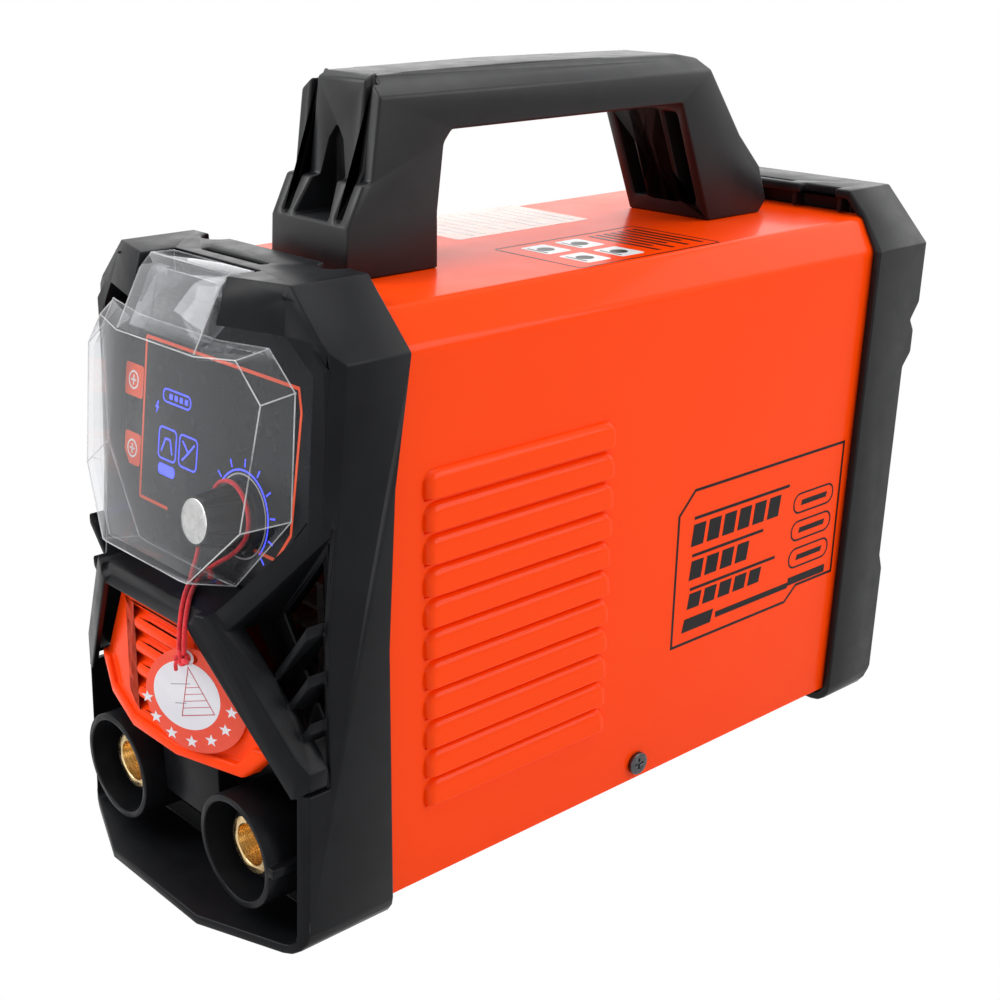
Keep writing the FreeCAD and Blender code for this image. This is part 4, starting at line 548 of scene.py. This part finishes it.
def on_other_side(u, v, t):
    """As on_side, for the left side: the print reads from left to right there too."""
    return Vector((-SIDE_X - t * MM, COVER_REAR - (u - PRINT_SHIFT) * MM, v * MM))


def on_top(u, v, t):
    """u mm to the right of the middle, v mm behind the cover's front edge."""
    return Vector((u * MM, COVER_FRONT + v * MM, COVER_TOP + t * MM))


def on_panel(u, v, t):
    """u mm to the right of the middle, at height v mm, t mm off the panel's film."""
    x, z = u * MM, v * MM
    rise = PANEL_NORMAL.x * (x - PANEL_AT.x) + PANEL_NORMAL.z * (z - PANEL_AT.z)
    return Vector((x, PANEL_AT.y - rise / PANEL_NORMAL.y, z)) + PANEL_NORMAL * (t * MM)


# ------------------------------------------------------------------------------------------
# Cord and knot
# ------------------------------------------------------------------------------------------
CORD_DIAMETER = 1.4 * MM
CORD_CORNERS = [
    (0.02300, -0.14295, 0.09222), (0.02390, -0.14245, 0.10590), (0.00330, -0.12419, 0.10590),
    (0.02564, -0.12210, 0.11986), (0.02595, -0.12042, 0.13106), (0.01655, -0.11949, 0.13732),
    (0.00618, -0.12016, 0.13282), (0.00070, -0.12419, 0.10590), (0.02130, -0.14245, 0.10590),
    (0.02040, -0.14295, 0.09222),
]


def tag_cord():
    """The cord from the knot, over the chin, round the knob and back."""
    curve = round_curve("tag_cord_look", CORD_DIAMETER / 2, 4, 24)
    spline = curve.splines.new("NURBS")
    spline.points.add(len(CORD_CORNERS) - 1)
    for point, corner in zip(spline.points, CORD_CORNERS):
        point.co = corner + (1.0,)
    spline.order_u = 3
    spline.use_endpoint_u = True
    obj = link(bpy.data.objects.new("tag_cord_look", curve), "cord_red")
    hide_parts("tag_cord")
    return obj


def tag_knot():
    """Overhand knot: turns of cord wound round the CAD knot's place, with two short tails."""
    low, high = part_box("tag_knot")
    centre, radius = (low + high) / 2, (high.z - low.z) / 2
    curve = round_curve("tag_knot_look", 0.42 * CORD_DIAMETER, 4, 8)
    steps = 96
    knot = curve.splines.new("POLY")
    knot.points.add(steps - 1)
    for i in range(steps):
        t = 2 * math.pi * i / steps
        ring = 1.35 + 0.62 * math.cos(3 * t)
        spot = Vector((ring * math.cos(2 * t), 0.75 * math.sin(3 * t) - 0.1, 0.85 * ring * math.sin(2 * t)))
        knot.points[i].co = (*(centre + spot * radius * 0.62), 1.0)
    knot.use_cyclic_u = True
    for side, drop in ((1.0, 0.3), (-0.6, -1.3)):
        tail = curve.splines.new("NURBS")
        tail.points.add(3)
        route = ((0.3 * side, 0.0, -0.2), (1.2 * side, -0.5, 0.5 * drop), (2.1 * side, -0.7, drop),
                 (2.7 * side, -0.4, 1.8 * drop - 0.4))
        for point, spot in zip(tail.points, route):
            point.co = (*(centre + Vector(spot) * radius * 0.8), 1.0)
        tail.order_u = 3
        tail.use_endpoint_u = True
    obj = link(bpy.data.objects.new("tag_knot_look", curve), "cord_red")
    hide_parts("tag_knot")
    return obj


# ------------------------------------------------------------------------------------------
# Inspection tag
# ------------------------------------------------------------------------------------------
TAG_HOLE_UP = 13.6          # the hole above the disc's centre, in mm


def inspection_tag():
    """Round card with a white middle, stars along its lower rim and a triangle of printed lines."""
    moulded("inspection_tag", 0.12, 2)
    centre, normal = front_plane("inspection_tag")
    low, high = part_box("inspection_tag")
    centre = Vector((centre.x, centre.y, (low.z + high.z) / 2))
    radius = (high.z - low.z) / 2 / MM
    right = Vector((0, 0, 1)).cross(normal).normalized()
    up = normal.cross(right).normalized()

    def place(u, v, t):
        return centre + right * (u * MM) + up * (v * MM) + normal * (t * MM)

    inner = radius * 0.66
    sheet("tag_middle", [disc(-0.6, 1.4, inner, 56)], place, 0.05, "card_white")
    ring, size = 0.845 * radius, 0.125 * radius
    turns = [math.radians(a) for a in (-82, -55, -28, 0, 28, 55, 82)]
    stars = [star(ring * math.sin(a), -ring * math.cos(a) + 0.6, size) for a in turns]
    sheet("tag_stars", stars, place, 0.06, "card_white")
    peak, left, right_foot = (0.5, 10.6), (-2.6, -5.4), (8.2, -3.0)
    lines = stroke([peak, left, right_foot], 0.28, True)
    for share in (0.42, 0.56, 0.70, 0.84):
        ends = [[p + (f - p) * share for p, f in zip(peak, foot)] for foot in (left, right_foot)]
        lines += stroke(ends, 0.2)
    sheet("tag_triangle", lines, place, 0.08, "tag_ink")
    rules = stroke([(-5.6, 4.3), (0.8, 5.4)], 0.22) + stroke([(-4.6, -1.6), (-0.9, -1.1)], 0.22)
    sheet("tag_rules", rules, place, 0.08, "tag_grey")
    bm = bmesh.new()
    steps = 28
    outer, inner_ring = [[bm.verts.new(place(u, v, 0.05)) for u, v in disc(0, TAG_HOLE_UP, size, steps)]
                         for size in (2.5, 1.62)]
    for i in range(steps):
        j = (i + 1) % steps
        bm.faces.new((outer[i], outer[j], inner_ring[j], inner_ring[i]))
    from_bmesh(bm, "tag_eye", "card_white", "housing", None)


# ------------------------------------------------------------------------------------------
# Outer cover with its pressed louvres
# ------------------------------------------------------------------------------------------
LOUVRES = {"count": 11, "start": 15.0, "length": 76.5, "low": 36.3, "pitch": 9.77, "height": 7.9,
           "reach": 2.75, "corner": 4.6, "swell": 3.0, "top_share": 0.74, "groove": 0.75, "lip_back": 0.10}


def louvre_index(z):
    return math.floor((z - LOUVRES["low"]) / LOUVRES["pitch"] + 1e-6)


def louvre_push(u, z):
    """How far the sheet is pressed out at u mm along it and z mm up, in mm."""
    l = LOUVRES
    index = louvre_index(z)
    if index < 0 or index >= l["count"]:
        return 0.0
    up = z - l["low"] - index * l["pitch"]
    end = min(u - l["start"], l["start"] + l["length"] - u)
    corner = l["corner"]
    if up > l["height"] - corner and end < corner:
        edge = corner - math.hypot(corner - end, up - l["height"] + corner)
    else:
        edge = min(end, l["height"] - up)
    if edge <= 0.0:
        return 0.0
    swell = math.sqrt(max(0.0, 1.0 - (1.0 - min(1.0, edge / l["swell"])) ** 2))
    return l["reach"] * swell * (l["top_share"] + (1.0 - l["top_share"]) * (1.0 - up / l["height"]))


def wall_rows():
    """The side wall's rows as (height, depth of the groove below a louvre, whether on a louvre)."""
    l = LOUVRES
    shares = (0.12, 0.24, 0.36, 0.46, 0.56, 0.64, 0.71, 0.78, 0.84, 0.89, 0.93, 0.96, 0.98, 0.992, 1.0)
    rises = [-0.01, 0.25, 0.6] + [l["height"] * share for share in shares]
    rows = []
    for i in range(l["count"]):
        z = l["low"] + i * l["pitch"]
        rows += [(z - 1.15, 0.0, False), (z - 0.75, l["groove"], False), (z - 0.02, l["groove"], False)]
        rows += [(z + rise, 0.0, True) for rise in rises]
    return rows


def side_wall(bm, sign, top_z):
    """One side of the cover up to its bend, as a grid whose columns crowd at the louvres' ends."""
    l = LOUVRES
    stop = l["start"] + l["length"]
    ends = [0.0, 0.06, 0.16, 0.3, 0.5, 0.75, 1.05, 1.4, 1.8, 2.25, 2.75, 3.3, 4.0, 4.8, 5.8]
    cover_u = (COVER_HIGH.y - COVER_FRONT) / MM
    cols = [(COVER_LOW.y - COVER_FRONT) / MM, l["start"] - 1.0]
    cols += [l["start"] + e for e in ends] + [l["start"] + 8 + i * (l["length"] - 16) / 6 for i in range(7)]
    cols += [stop - e for e in reversed(ends)] + [stop + 1.0, cover_u]
    rows = [(COVER_BOTTOM, 0.0, False)] + wall_rows() + [(top_z, 0.0, False)]
    grid = []
    for z, groove, raised in rows:
        line = []
        for u in cols:
            if raised:
                low = l["low"] + louvre_index(z + 0.02) * l["pitch"]
                push = louvre_push(u, max(z, low + 0.26))
                if z < low + 0.2:
                    push = max(0.0, push - l["lip_back"])
            else:
                push = -groove if l["start"] + 0.3 < u < stop - 0.3 else 0.0
            spot = on_side(u, z, push)
            line.append(bm.verts.new((sign * spot.x, spot.y, spot.z)))
        grid.append(line)
    for a, b in zip(grid, grid[1:]):
        for i in range(len(cols) - 1):
            bm.faces.new((a[i], a[i + 1], b[i + 1], b[i]))


COVER_BOTTOM = 10.0         # mm above the floor
SHOULDER = (48.0, 176.5)    # inner and lower corner of the sloping shoulder, in mm
COVER_BEND = 1.8            # how far a bend's rounding reaches from its corner, in mm
COVER_SHEET = 1.2           # mm


def outer_cover():
    """Folded sheet: two side walls with louvres, the shoulders and the top, and its inner face."""
    bm = bmesh.new()
    bend = COVER_BEND
    shoulder_x, shoulder_z = SHOULDER
    top = COVER_TOP / MM
    side = SIDE_X / MM
    slope = Vector((side - shoulder_x, shoulder_z - top)).normalized()

    def bent(corner, into, out, steps=5):
        """Points of a rounded bend at a corner of the section."""
        a, c = corner - into * bend, corner + out * bend
        shares = [i / steps for i in range(steps + 1)]
        return [a * (1 - t) ** 2 + corner * 2 * t * (1 - t) + c * t ** 2 for t in shares]

    outline = bent(Vector((shoulder_x, top)), Vector((1, 0)), slope)
    outline += bent(Vector((side, shoulder_z)), slope, Vector((0, -1)))
    y0, y1 = COVER_LOW.y, COVER_HIGH.y
    for sign in (-1, 1):
        side_wall(bm, sign, shoulder_z - bend)
    ring0, ring1 = [], []
    for sign, pts in ((-1, list(reversed(outline))), (1, outline)):
        for p in pts:
            ring0.append(bm.verts.new((sign * p.x * MM, y0, p.y * MM)))
            ring1.append(bm.verts.new((sign * p.x * MM, y1, p.y * MM)))
    for i in range(len(ring0) - 1):
        bm.faces.new((ring0[i], ring0[i + 1], ring1[i + 1], ring1[i]))
    bmesh.ops.remove_doubles(bm, verts=bm.verts, dist=1e-6)
    inner_side, inner_top = side - COVER_SHEET, top - COVER_SHEET
    inner = [Vector((inner_side, COVER_BOTTOM)), Vector((inner_side, shoulder_z)),
             Vector((shoulder_x - COVER_SHEET / 2, inner_top))]
    inner += [Vector((-p.x, p.y)) for p in reversed(inner)]
    loops = [[bm.verts.new((p.x * MM, y, p.y * MM)) for p in inner] for y in (y0, y1)]
    for i in range(len(inner) - 1):
        bm.faces.new((loops[0][i], loops[0][i + 1], loops[1][i + 1], loops[1][i]))
    for sign in (-1, 1):
        lip = [bm.verts.new((sign * x * MM, y, COVER_BOTTOM * MM)) for x, y in
               ((side, y0), (side, y1), (inner_side, y1), (inner_side, y0))]
        bm.faces.new(lip)
    obj = from_bmesh(bm, "outer_cover_look", "orange_paint", "housing", 24.0)
    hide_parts("outer_cover")


# Size and choice of the painted highlight tubes along the clear cover's edges.
RIM_RADIUS, RIM_INSET = 0.21 * MM, 0.30 * MM
RIM_SHORTEST = 1.6 * MM
RIM_TURN = math.radians(20)


def edge_highlight_tubes():
    """Pale rounded tubes along the clear cover's outer edges: painted highlights for the light its moulded
    edges catch.
    """
    bm = cad_mesh("clear_cover")
    low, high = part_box("clear_cover")
    middle = (low + high) / 2
    middle.y = high.y - 0.004
    curve = round_curve("edge_highlight_tubes", RIM_RADIUS, 2, 12)
    for edge in bm.edges:
        if len(edge.link_faces) != 2 or edge.calc_length() < RIM_SHORTEST:
            continue
        a, b = edge.verts[0].co, edge.verts[1].co
        outward = (edge.link_faces[0].normal + edge.link_faces[1].normal).normalized()
        turn = edge.calc_face_angle_signed(0.0)
        faces_out = outward.dot(((a + b) / 2 - middle).normalized()) >= 0.25
        if turn < RIM_TURN or not faces_out:
            continue
        inset = outward * RIM_INSET
        spline = curve.splines.new("POLY")
        spline.points.add(1)
        for point, place in zip(spline.points, (a, b)):
            point.co = (*(place - inset), 1.0)
    bm.free()
    obj = link(bpy.data.objects.new("edge_highlight_tubes", curve), "painted_edge_highlight", body_of("clear_cover"))


# ------------------------------------------------------------------------------------------
# Printed graphics
# ------------------------------------------------------------------------------------------
def side_graphics(name, place):
    """Outline with two cut corners, three pills and three rows of plain bars."""
    frame_line = [(132.0, 109.5), (212.9, 109.5), (212.9, 59.5), (192.0, 59.5), (186.0, 54.4),
                  (124.7, 54.4), (124.7, 102.0)]
    shapes = stroke(frame_line, 1.0, True)
    shapes.append(rect(129.5, 58.6, 144.5, 63.4, 1.2))
    shapes += [rect(147.0, 59.6, 187.0, 61.8), rect(187.0, 60.4, 208.5, 63.4)]
    for z in (91.5, 81.0, 70.5):
        shapes += stroke(rounded(186.5, z - 3.6, 209.0, z + 3.6, 3.3), 0.7, True)
        shapes.append(rect(190.5, z - 1.0, 205.0, z + 1.0, 0.6))
    u0, pitch = 131.5, 8
    for z, u1, half in ((94.6, 183.0, 5.0), (81.8, 170.0, 4.4), (70.4, 178.0, 3.6)):
        shapes += stroke([(u0 + 1, z + half), (u1, z + half)], 1.1)
        shapes += [rect(u0 + pitch * i, z - half, u0 + pitch * i + 6.2, z + half * 0.55, 1.0)
                   for i in range(int((u1 - u0) / pitch))]
    sheet(name, shapes, place, 0.06, "ink")


def top_graphics():
    """Pale label with lines, and an outlined field with four cells and rows of bars."""
    pale = [rounded(-50, 88, -11, 148, 1.5)]
    sheet("top_label", pale, on_top, 0.05, "label_pale")
    lines = [rect(-47, 92 + 4.6 * i, -47 + (33 if i % 3 else 24), 93.2 + 4.6 * i) for i in range(12)]
    sheet("top_label_lines", lines, on_top, 0.08, "grey_print_and_highlight")
    sheet("top_outline", stroke(rounded(8, 86, 46, 149, 1.2, 3), 0.7, True), on_top, 0.05, "ink")
    cells, marks = [], []
    for i, (u, v) in enumerate(((12, 93), (12, 108), (29, 93), (29, 108))):
        cells.append(rounded(u, v, u + 13, v + 10.5, 1.2))
        marks += [disc(u + 6.5, v + 5.2, 2.9, 20), rect(u + 2.0, v + 1.2, u + 11, v + 2.0)]
    sheet("top_cells", cells, on_top, 0.06, "ink_white")
    sheet("top_marks", marks, on_top, 0.09, "ink")
    rows = [rect(12, 124 + 3.4 * i, 42 - (6 if i % 2 else 0), 125.4 + 3.4 * i) for i in range(7)]
    sheet("top_rows", rows, on_top, 0.06, "ink")


def panel_graphics():
    """Orange outline and patches, blue printed pictograms and the scale round the knob with a painted glow,
    and a grey ring round the knob that is a painted highlight.
    """
    outline = [(-40.0, 166.0), (37.5, 166.0), (39.5, 160.0), (39.5, 126.0), (33.6, 117.2), (17.0, 117.2)]
    left = [(-40.0, 166.0), (-39.0, 117.0), (-23.0, 117.0)]
    sheet("panel_line", stroke(outline, 1.0) + stroke(left, 1.0), on_panel, 0.05, "ink_orange")
    patches = [rounded(-51.0, 146.5, -40.6, 156.5, 1.2), rounded(-49.5, 125.5, -40.2, 135.5, 1.2)]
    sheet("panel_patches", patches, on_panel, 0.06, "ink_orange")
    marks = []
    for u, v in ((-46.2, 151.5), (-45.0, 130.5)):
        marks += stroke(disc(u, v, 2.6, 22), 0.6, True) + [rect(u - 0.35, v - 1.6, u + 0.35, v + 1.6)]
        marks += [rect(u - 1.4, v - 0.3, u + 1.4, v + 0.3)]
    sheet("panel_patch_marks", marks, on_panel, 0.09, "ink_white")
    # Blue printed pictograms; their material gives them a painted glow.
    blue = stroke(rounded(-29, 148.8, -14, 152.6, 1.7), 0.5, True)
    blue += [rect(-25.5 + 2.8 * i, 149.9, -23.9 + 2.8 * i, 151.5) for i in range(4)]
    blue.append(bolt(-32.0, 146.2, 1.9))
    for u in (-30.0, -18.6):
        blue += stroke(rounded(u, 131.5, u + 9.6, 141.0, 1.6), 0.5, True)
    blue += stroke([(-28.4, 133.6), (-26.4, 137.8), (-23.8, 137.8), (-22.4, 133.6)], 0.6)
    blue += stroke([(-17.0, 139.2), (-13.6, 136.2), (-10.6, 139.2)], 0.6)
    blue += stroke([(-16.8, 133.4), (-13.6, 136.2)], 0.6)
    blue.append(rounded(-29.6, 126.6, -20.4, 130.0, 1.3))
    sheet("panel_painted_glow_pictograms", blue, on_panel, 0.05, "blue_print_painted_glow")
    centre_u, centre_v = KNOB_AT.x / MM, KNOB_AT.z / MM
    first, last, marks_count = -40, 220, 11
    # Printed scale round the knob, with the same painted glow.
    scale = stroke(arc(centre_u, centre_v, 13.2, first, last, 40), 0.55)
    for i in range(marks_count):
        a = math.radians(first + (last - first) / (marks_count - 1) * i)
        ends = [(centre_u + r * math.cos(a), centre_v + r * math.sin(a)) for r in (14.2, 16.6)]
        scale += stroke(ends, 0.5)
    sheet("panel_scale", scale, on_panel, 0.05, "blue_print_painted_glow")
    # Grey ring just outside the knob's skirt: a painted highlight of the skirt's rim.
    sheet("knob_rim_painted_highlight", stroke(disc(centre_u, centre_v, 12.1, 48), 0.5, True), on_panel, 0.06, "grey_print_and_highlight")


# ------------------------------------------------------------------------------------------
# Knob
# ------------------------------------------------------------------------------------------
KNOB_HEIGHT = 16.0
SKIRT_TOP = 2.9
FLUTES, FLUTE_DEPTH = 10, 0.95


def knob():
    """Fluted grip on a skirt, with a spun metal cap."""
    film = on_panel(KNOB_AT.x / MM, KNOB_AT.z / MM, 0.0)

    def flutes(angle, radius, along):
        if radius < 6.6 or along < SKIRT_TOP or along > KNOB_HEIGHT - 0.4:
            return radius
        wave = max(0.0, math.cos(FLUTES * angle + math.pi)) ** 1.5
        return radius - FLUTE_DEPTH * wave * min(1.0, (along - SKIRT_TOP) / 1.2)

    profile = [(2.9, 0.35), (11.0, 0.35), (11.2, 0.6), (11.2, 2.2), (10.9, 2.6), (9.6, SKIRT_TOP),
               (9.35, 3.4), (9.0, 5.5), (8.6, 8.0), (8.1, 11.0), (7.6, 14.0), (7.35, 15.2), (7.1, 15.75),
               (6.9, 15.9), (6.75, 15.9), (6.65, 15.4), (2.9, 15.4)]
    body = lathe("knob_look", profile, film, KNOB_AXIS, "knob_black", "knob", 160, 38.0, flutes)
    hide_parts("knob")
    cap = [(0.02, 16.02), (2.0, 16.05), (5.2, 16.12), (6.1, 16.05), (6.45, 15.85), (6.55, 15.5),
           (6.4, 15.45), (0.02, 15.45)]
    disc_piece = lathe("knob_cap_look", cap, film, KNOB_AXIS, "cap_aluminium", "knob", 96, 40.0)
    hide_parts("knob_cap")


# ------------------------------------------------------------------------------------------
# Stage: pale floor, white surroundings, studio lights
# ------------------------------------------------------------------------------------------
def seen_rays(tree):
    """1 for camera rays and for what glass and gloss show, 0 for light that falls on surfaces."""
    light = tree.nodes.new("ShaderNodeLightPath")
    found = light.outputs["Is Camera Ray"]
    for name in ("Is Transmission Ray", "Is Glossy Ray"):
        either = tree.nodes.new("ShaderNodeMath")
        either.operation = "MAXIMUM"
        tree.links.new(found, either.inputs[0])
        tree.links.new(light.outputs[name], either.inputs[1])
        found = either.outputs[0]
    return found


def white_outside(name, colour):
    """Pale surface that the camera sees as white."""
    mat = bpy.data.materials.new(name)
    mat.use_nodes = True
    tree = mat.node_tree
    bsdf = tree.nodes["Principled BSDF"]
    bsdf.inputs["Base Color"].default_value = colour + (1.0,)
    bsdf.inputs["Roughness"].default_value = 0.6
    glow_node = tree.nodes.new("ShaderNodeEmission")
    glow_node.inputs["Color"].default_value = (1.0, 1.0, 1.0, 1.0)
    glow_node.inputs["Strength"].default_value = 1.0
    mixed = tree.nodes.new("ShaderNodeMixShader")
    tree.links.new(seen_rays(tree), mixed.inputs[0])
    tree.links.new(bsdf.outputs[0], mixed.inputs[1])
    tree.links.new(glow_node.outputs[0], mixed.inputs[2])
    tree.links.new(mixed.outputs[0], tree.nodes["Material Output"].inputs["Surface"])
    return mat


FLOOR_HALF = 2.4
FLOOR_DROP = 0.0002         # the floor lies this far under the feet
WORLD_FILL = 0.30           # how strongly the surroundings light the object


def stage():
    """Floor and world."""
    bm = bmesh.new()
    corners = ((-1, -1), (1, -1), (1, 1), (-1, 1))
    bm.faces.new([bm.verts.new((x * FLOOR_HALF, y * FLOOR_HALF, -FLOOR_DROP)) for x, y in corners])
    mesh = bpy.data.meshes.new("floor")
    bm.to_mesh(mesh)
    bm.free()
    floor = bpy.data.objects.new("floor", mesh)
    floor.data.materials.append(white_outside("floor_white", (0.80, 0.80, 0.80)))
    bpy.context.scene.collection.objects.link(floor)
    world = bpy.data.worlds.new("studio")
    bpy.context.scene.world = world
    world.use_nodes = True
    tree = world.node_tree
    background = tree.nodes["Background"]
    level = tree.nodes.new("ShaderNodeMapRange")
    level.inputs["To Min"].default_value = WORLD_FILL
    level.inputs["To Max"].default_value = 1.0
    tree.links.new(seen_rays(tree), level.inputs["Value"])
    tree.links.new(level.outputs["Result"], background.inputs["Strength"])
    background.inputs["Color"].default_value = (1.0, 1.0, 1.0, 1.0)


LIGHTS_AIM = Vector((0.0, 0.0, 0.1))


def area_light(name, place, size, power):
    """Square light aimed at the object, itself out of the camera's sight."""
    data = bpy.data.lights.new(name, "AREA")
    data.energy = power
    data.size = size
    obj = bpy.data.objects.new(name, data)
    obj.location = place
    obj.rotation_mode = "QUATERNION"
    obj.rotation_quaternion = (LIGHTS_AIM - Vector(place)).to_track_quat("-Z", "Y")
    obj.visible_camera = False
    bpy.context.scene.collection.objects.link(obj)


# ------------------------------------------------------------------------------------------
# Build
# ------------------------------------------------------------------------------------------
cord = tag_cord()
knot = tag_knot()
inspection_tag()
outer_cover()
knob()
edge_highlight_tubes()
BEVELS = {                  # radius in mm and segments of each node's rounded edges
    "front_frame": (0.55, 2), "rear_frame": (0.55, 2), "handle": (0.8, 2), "front_insert": (1.2, 3),
    "clear_cover": (0.45, 2), "socket_housing_left": (0.4, 2), "socket_housing_right": (0.4, 2),
    "socket_brass_left": (0.35, 2), "socket_brass_right": (0.35, 2), "control_panel": (0.3, 2),
    "rear_panel": (0.3, 2), "mains_rocker": (0.5, 3), "mains_switch_body": (0.4, 2),
    "cable_gland": (0.4, 2), "fan_frame": (0.4, 2), "rubber_feet": (0.6, 2), "cover_screws": (0.35, 2),
    "fan_screws": (0.3, 2), "earth_nuts": (0.3, 2), "earth_stud": (0.3, 2), "gland_nut": (0.3, 2),
    "base_tray": (0.25, 2),
}
LOOKS = {                   # black nodes that get a slightly different black from their slot's; the front frame's darker black is painted shade
    "front_frame": "shaded_frame_black", "socket_housing_left": "shaded_frame_black",
    "socket_housing_right": "shaded_frame_black", "rear_frame": "rear_black",
}
for node, (radius, segments) in BEVELS.items():
    moulded(node, radius, segments, LOOKS.get(node))
for node, obj in NODES.items():
    if not obj.hide_render:
        obj.data.materials.clear()
        obj.data.materials.append(MAT[slot_of(node)])
side_graphics("side_print_right", on_side)
side_graphics("side_print_left", on_other_side)
top_graphics()
panel_graphics()
stage()
area_light("key", (-0.75, -1.10, 1.15), 1.0, 18.0)
area_light("side", (1.45, 0.85, 1.05), 1.1, 15.0)
area_light("top", (0.05, 0.20, 1.55), 1.2, 12.0)
area_light("rim", (0.30, 1.50, 0.80), 1.0, 6.0)
area_light("back", (-1.05, 1.20, 0.80), 1.3, 5.0)
area_light("front", (0.25, -1.60, 0.35), 0.8, 3.0)
bpy.context.scene.view_settings.view_transform = "Standard"
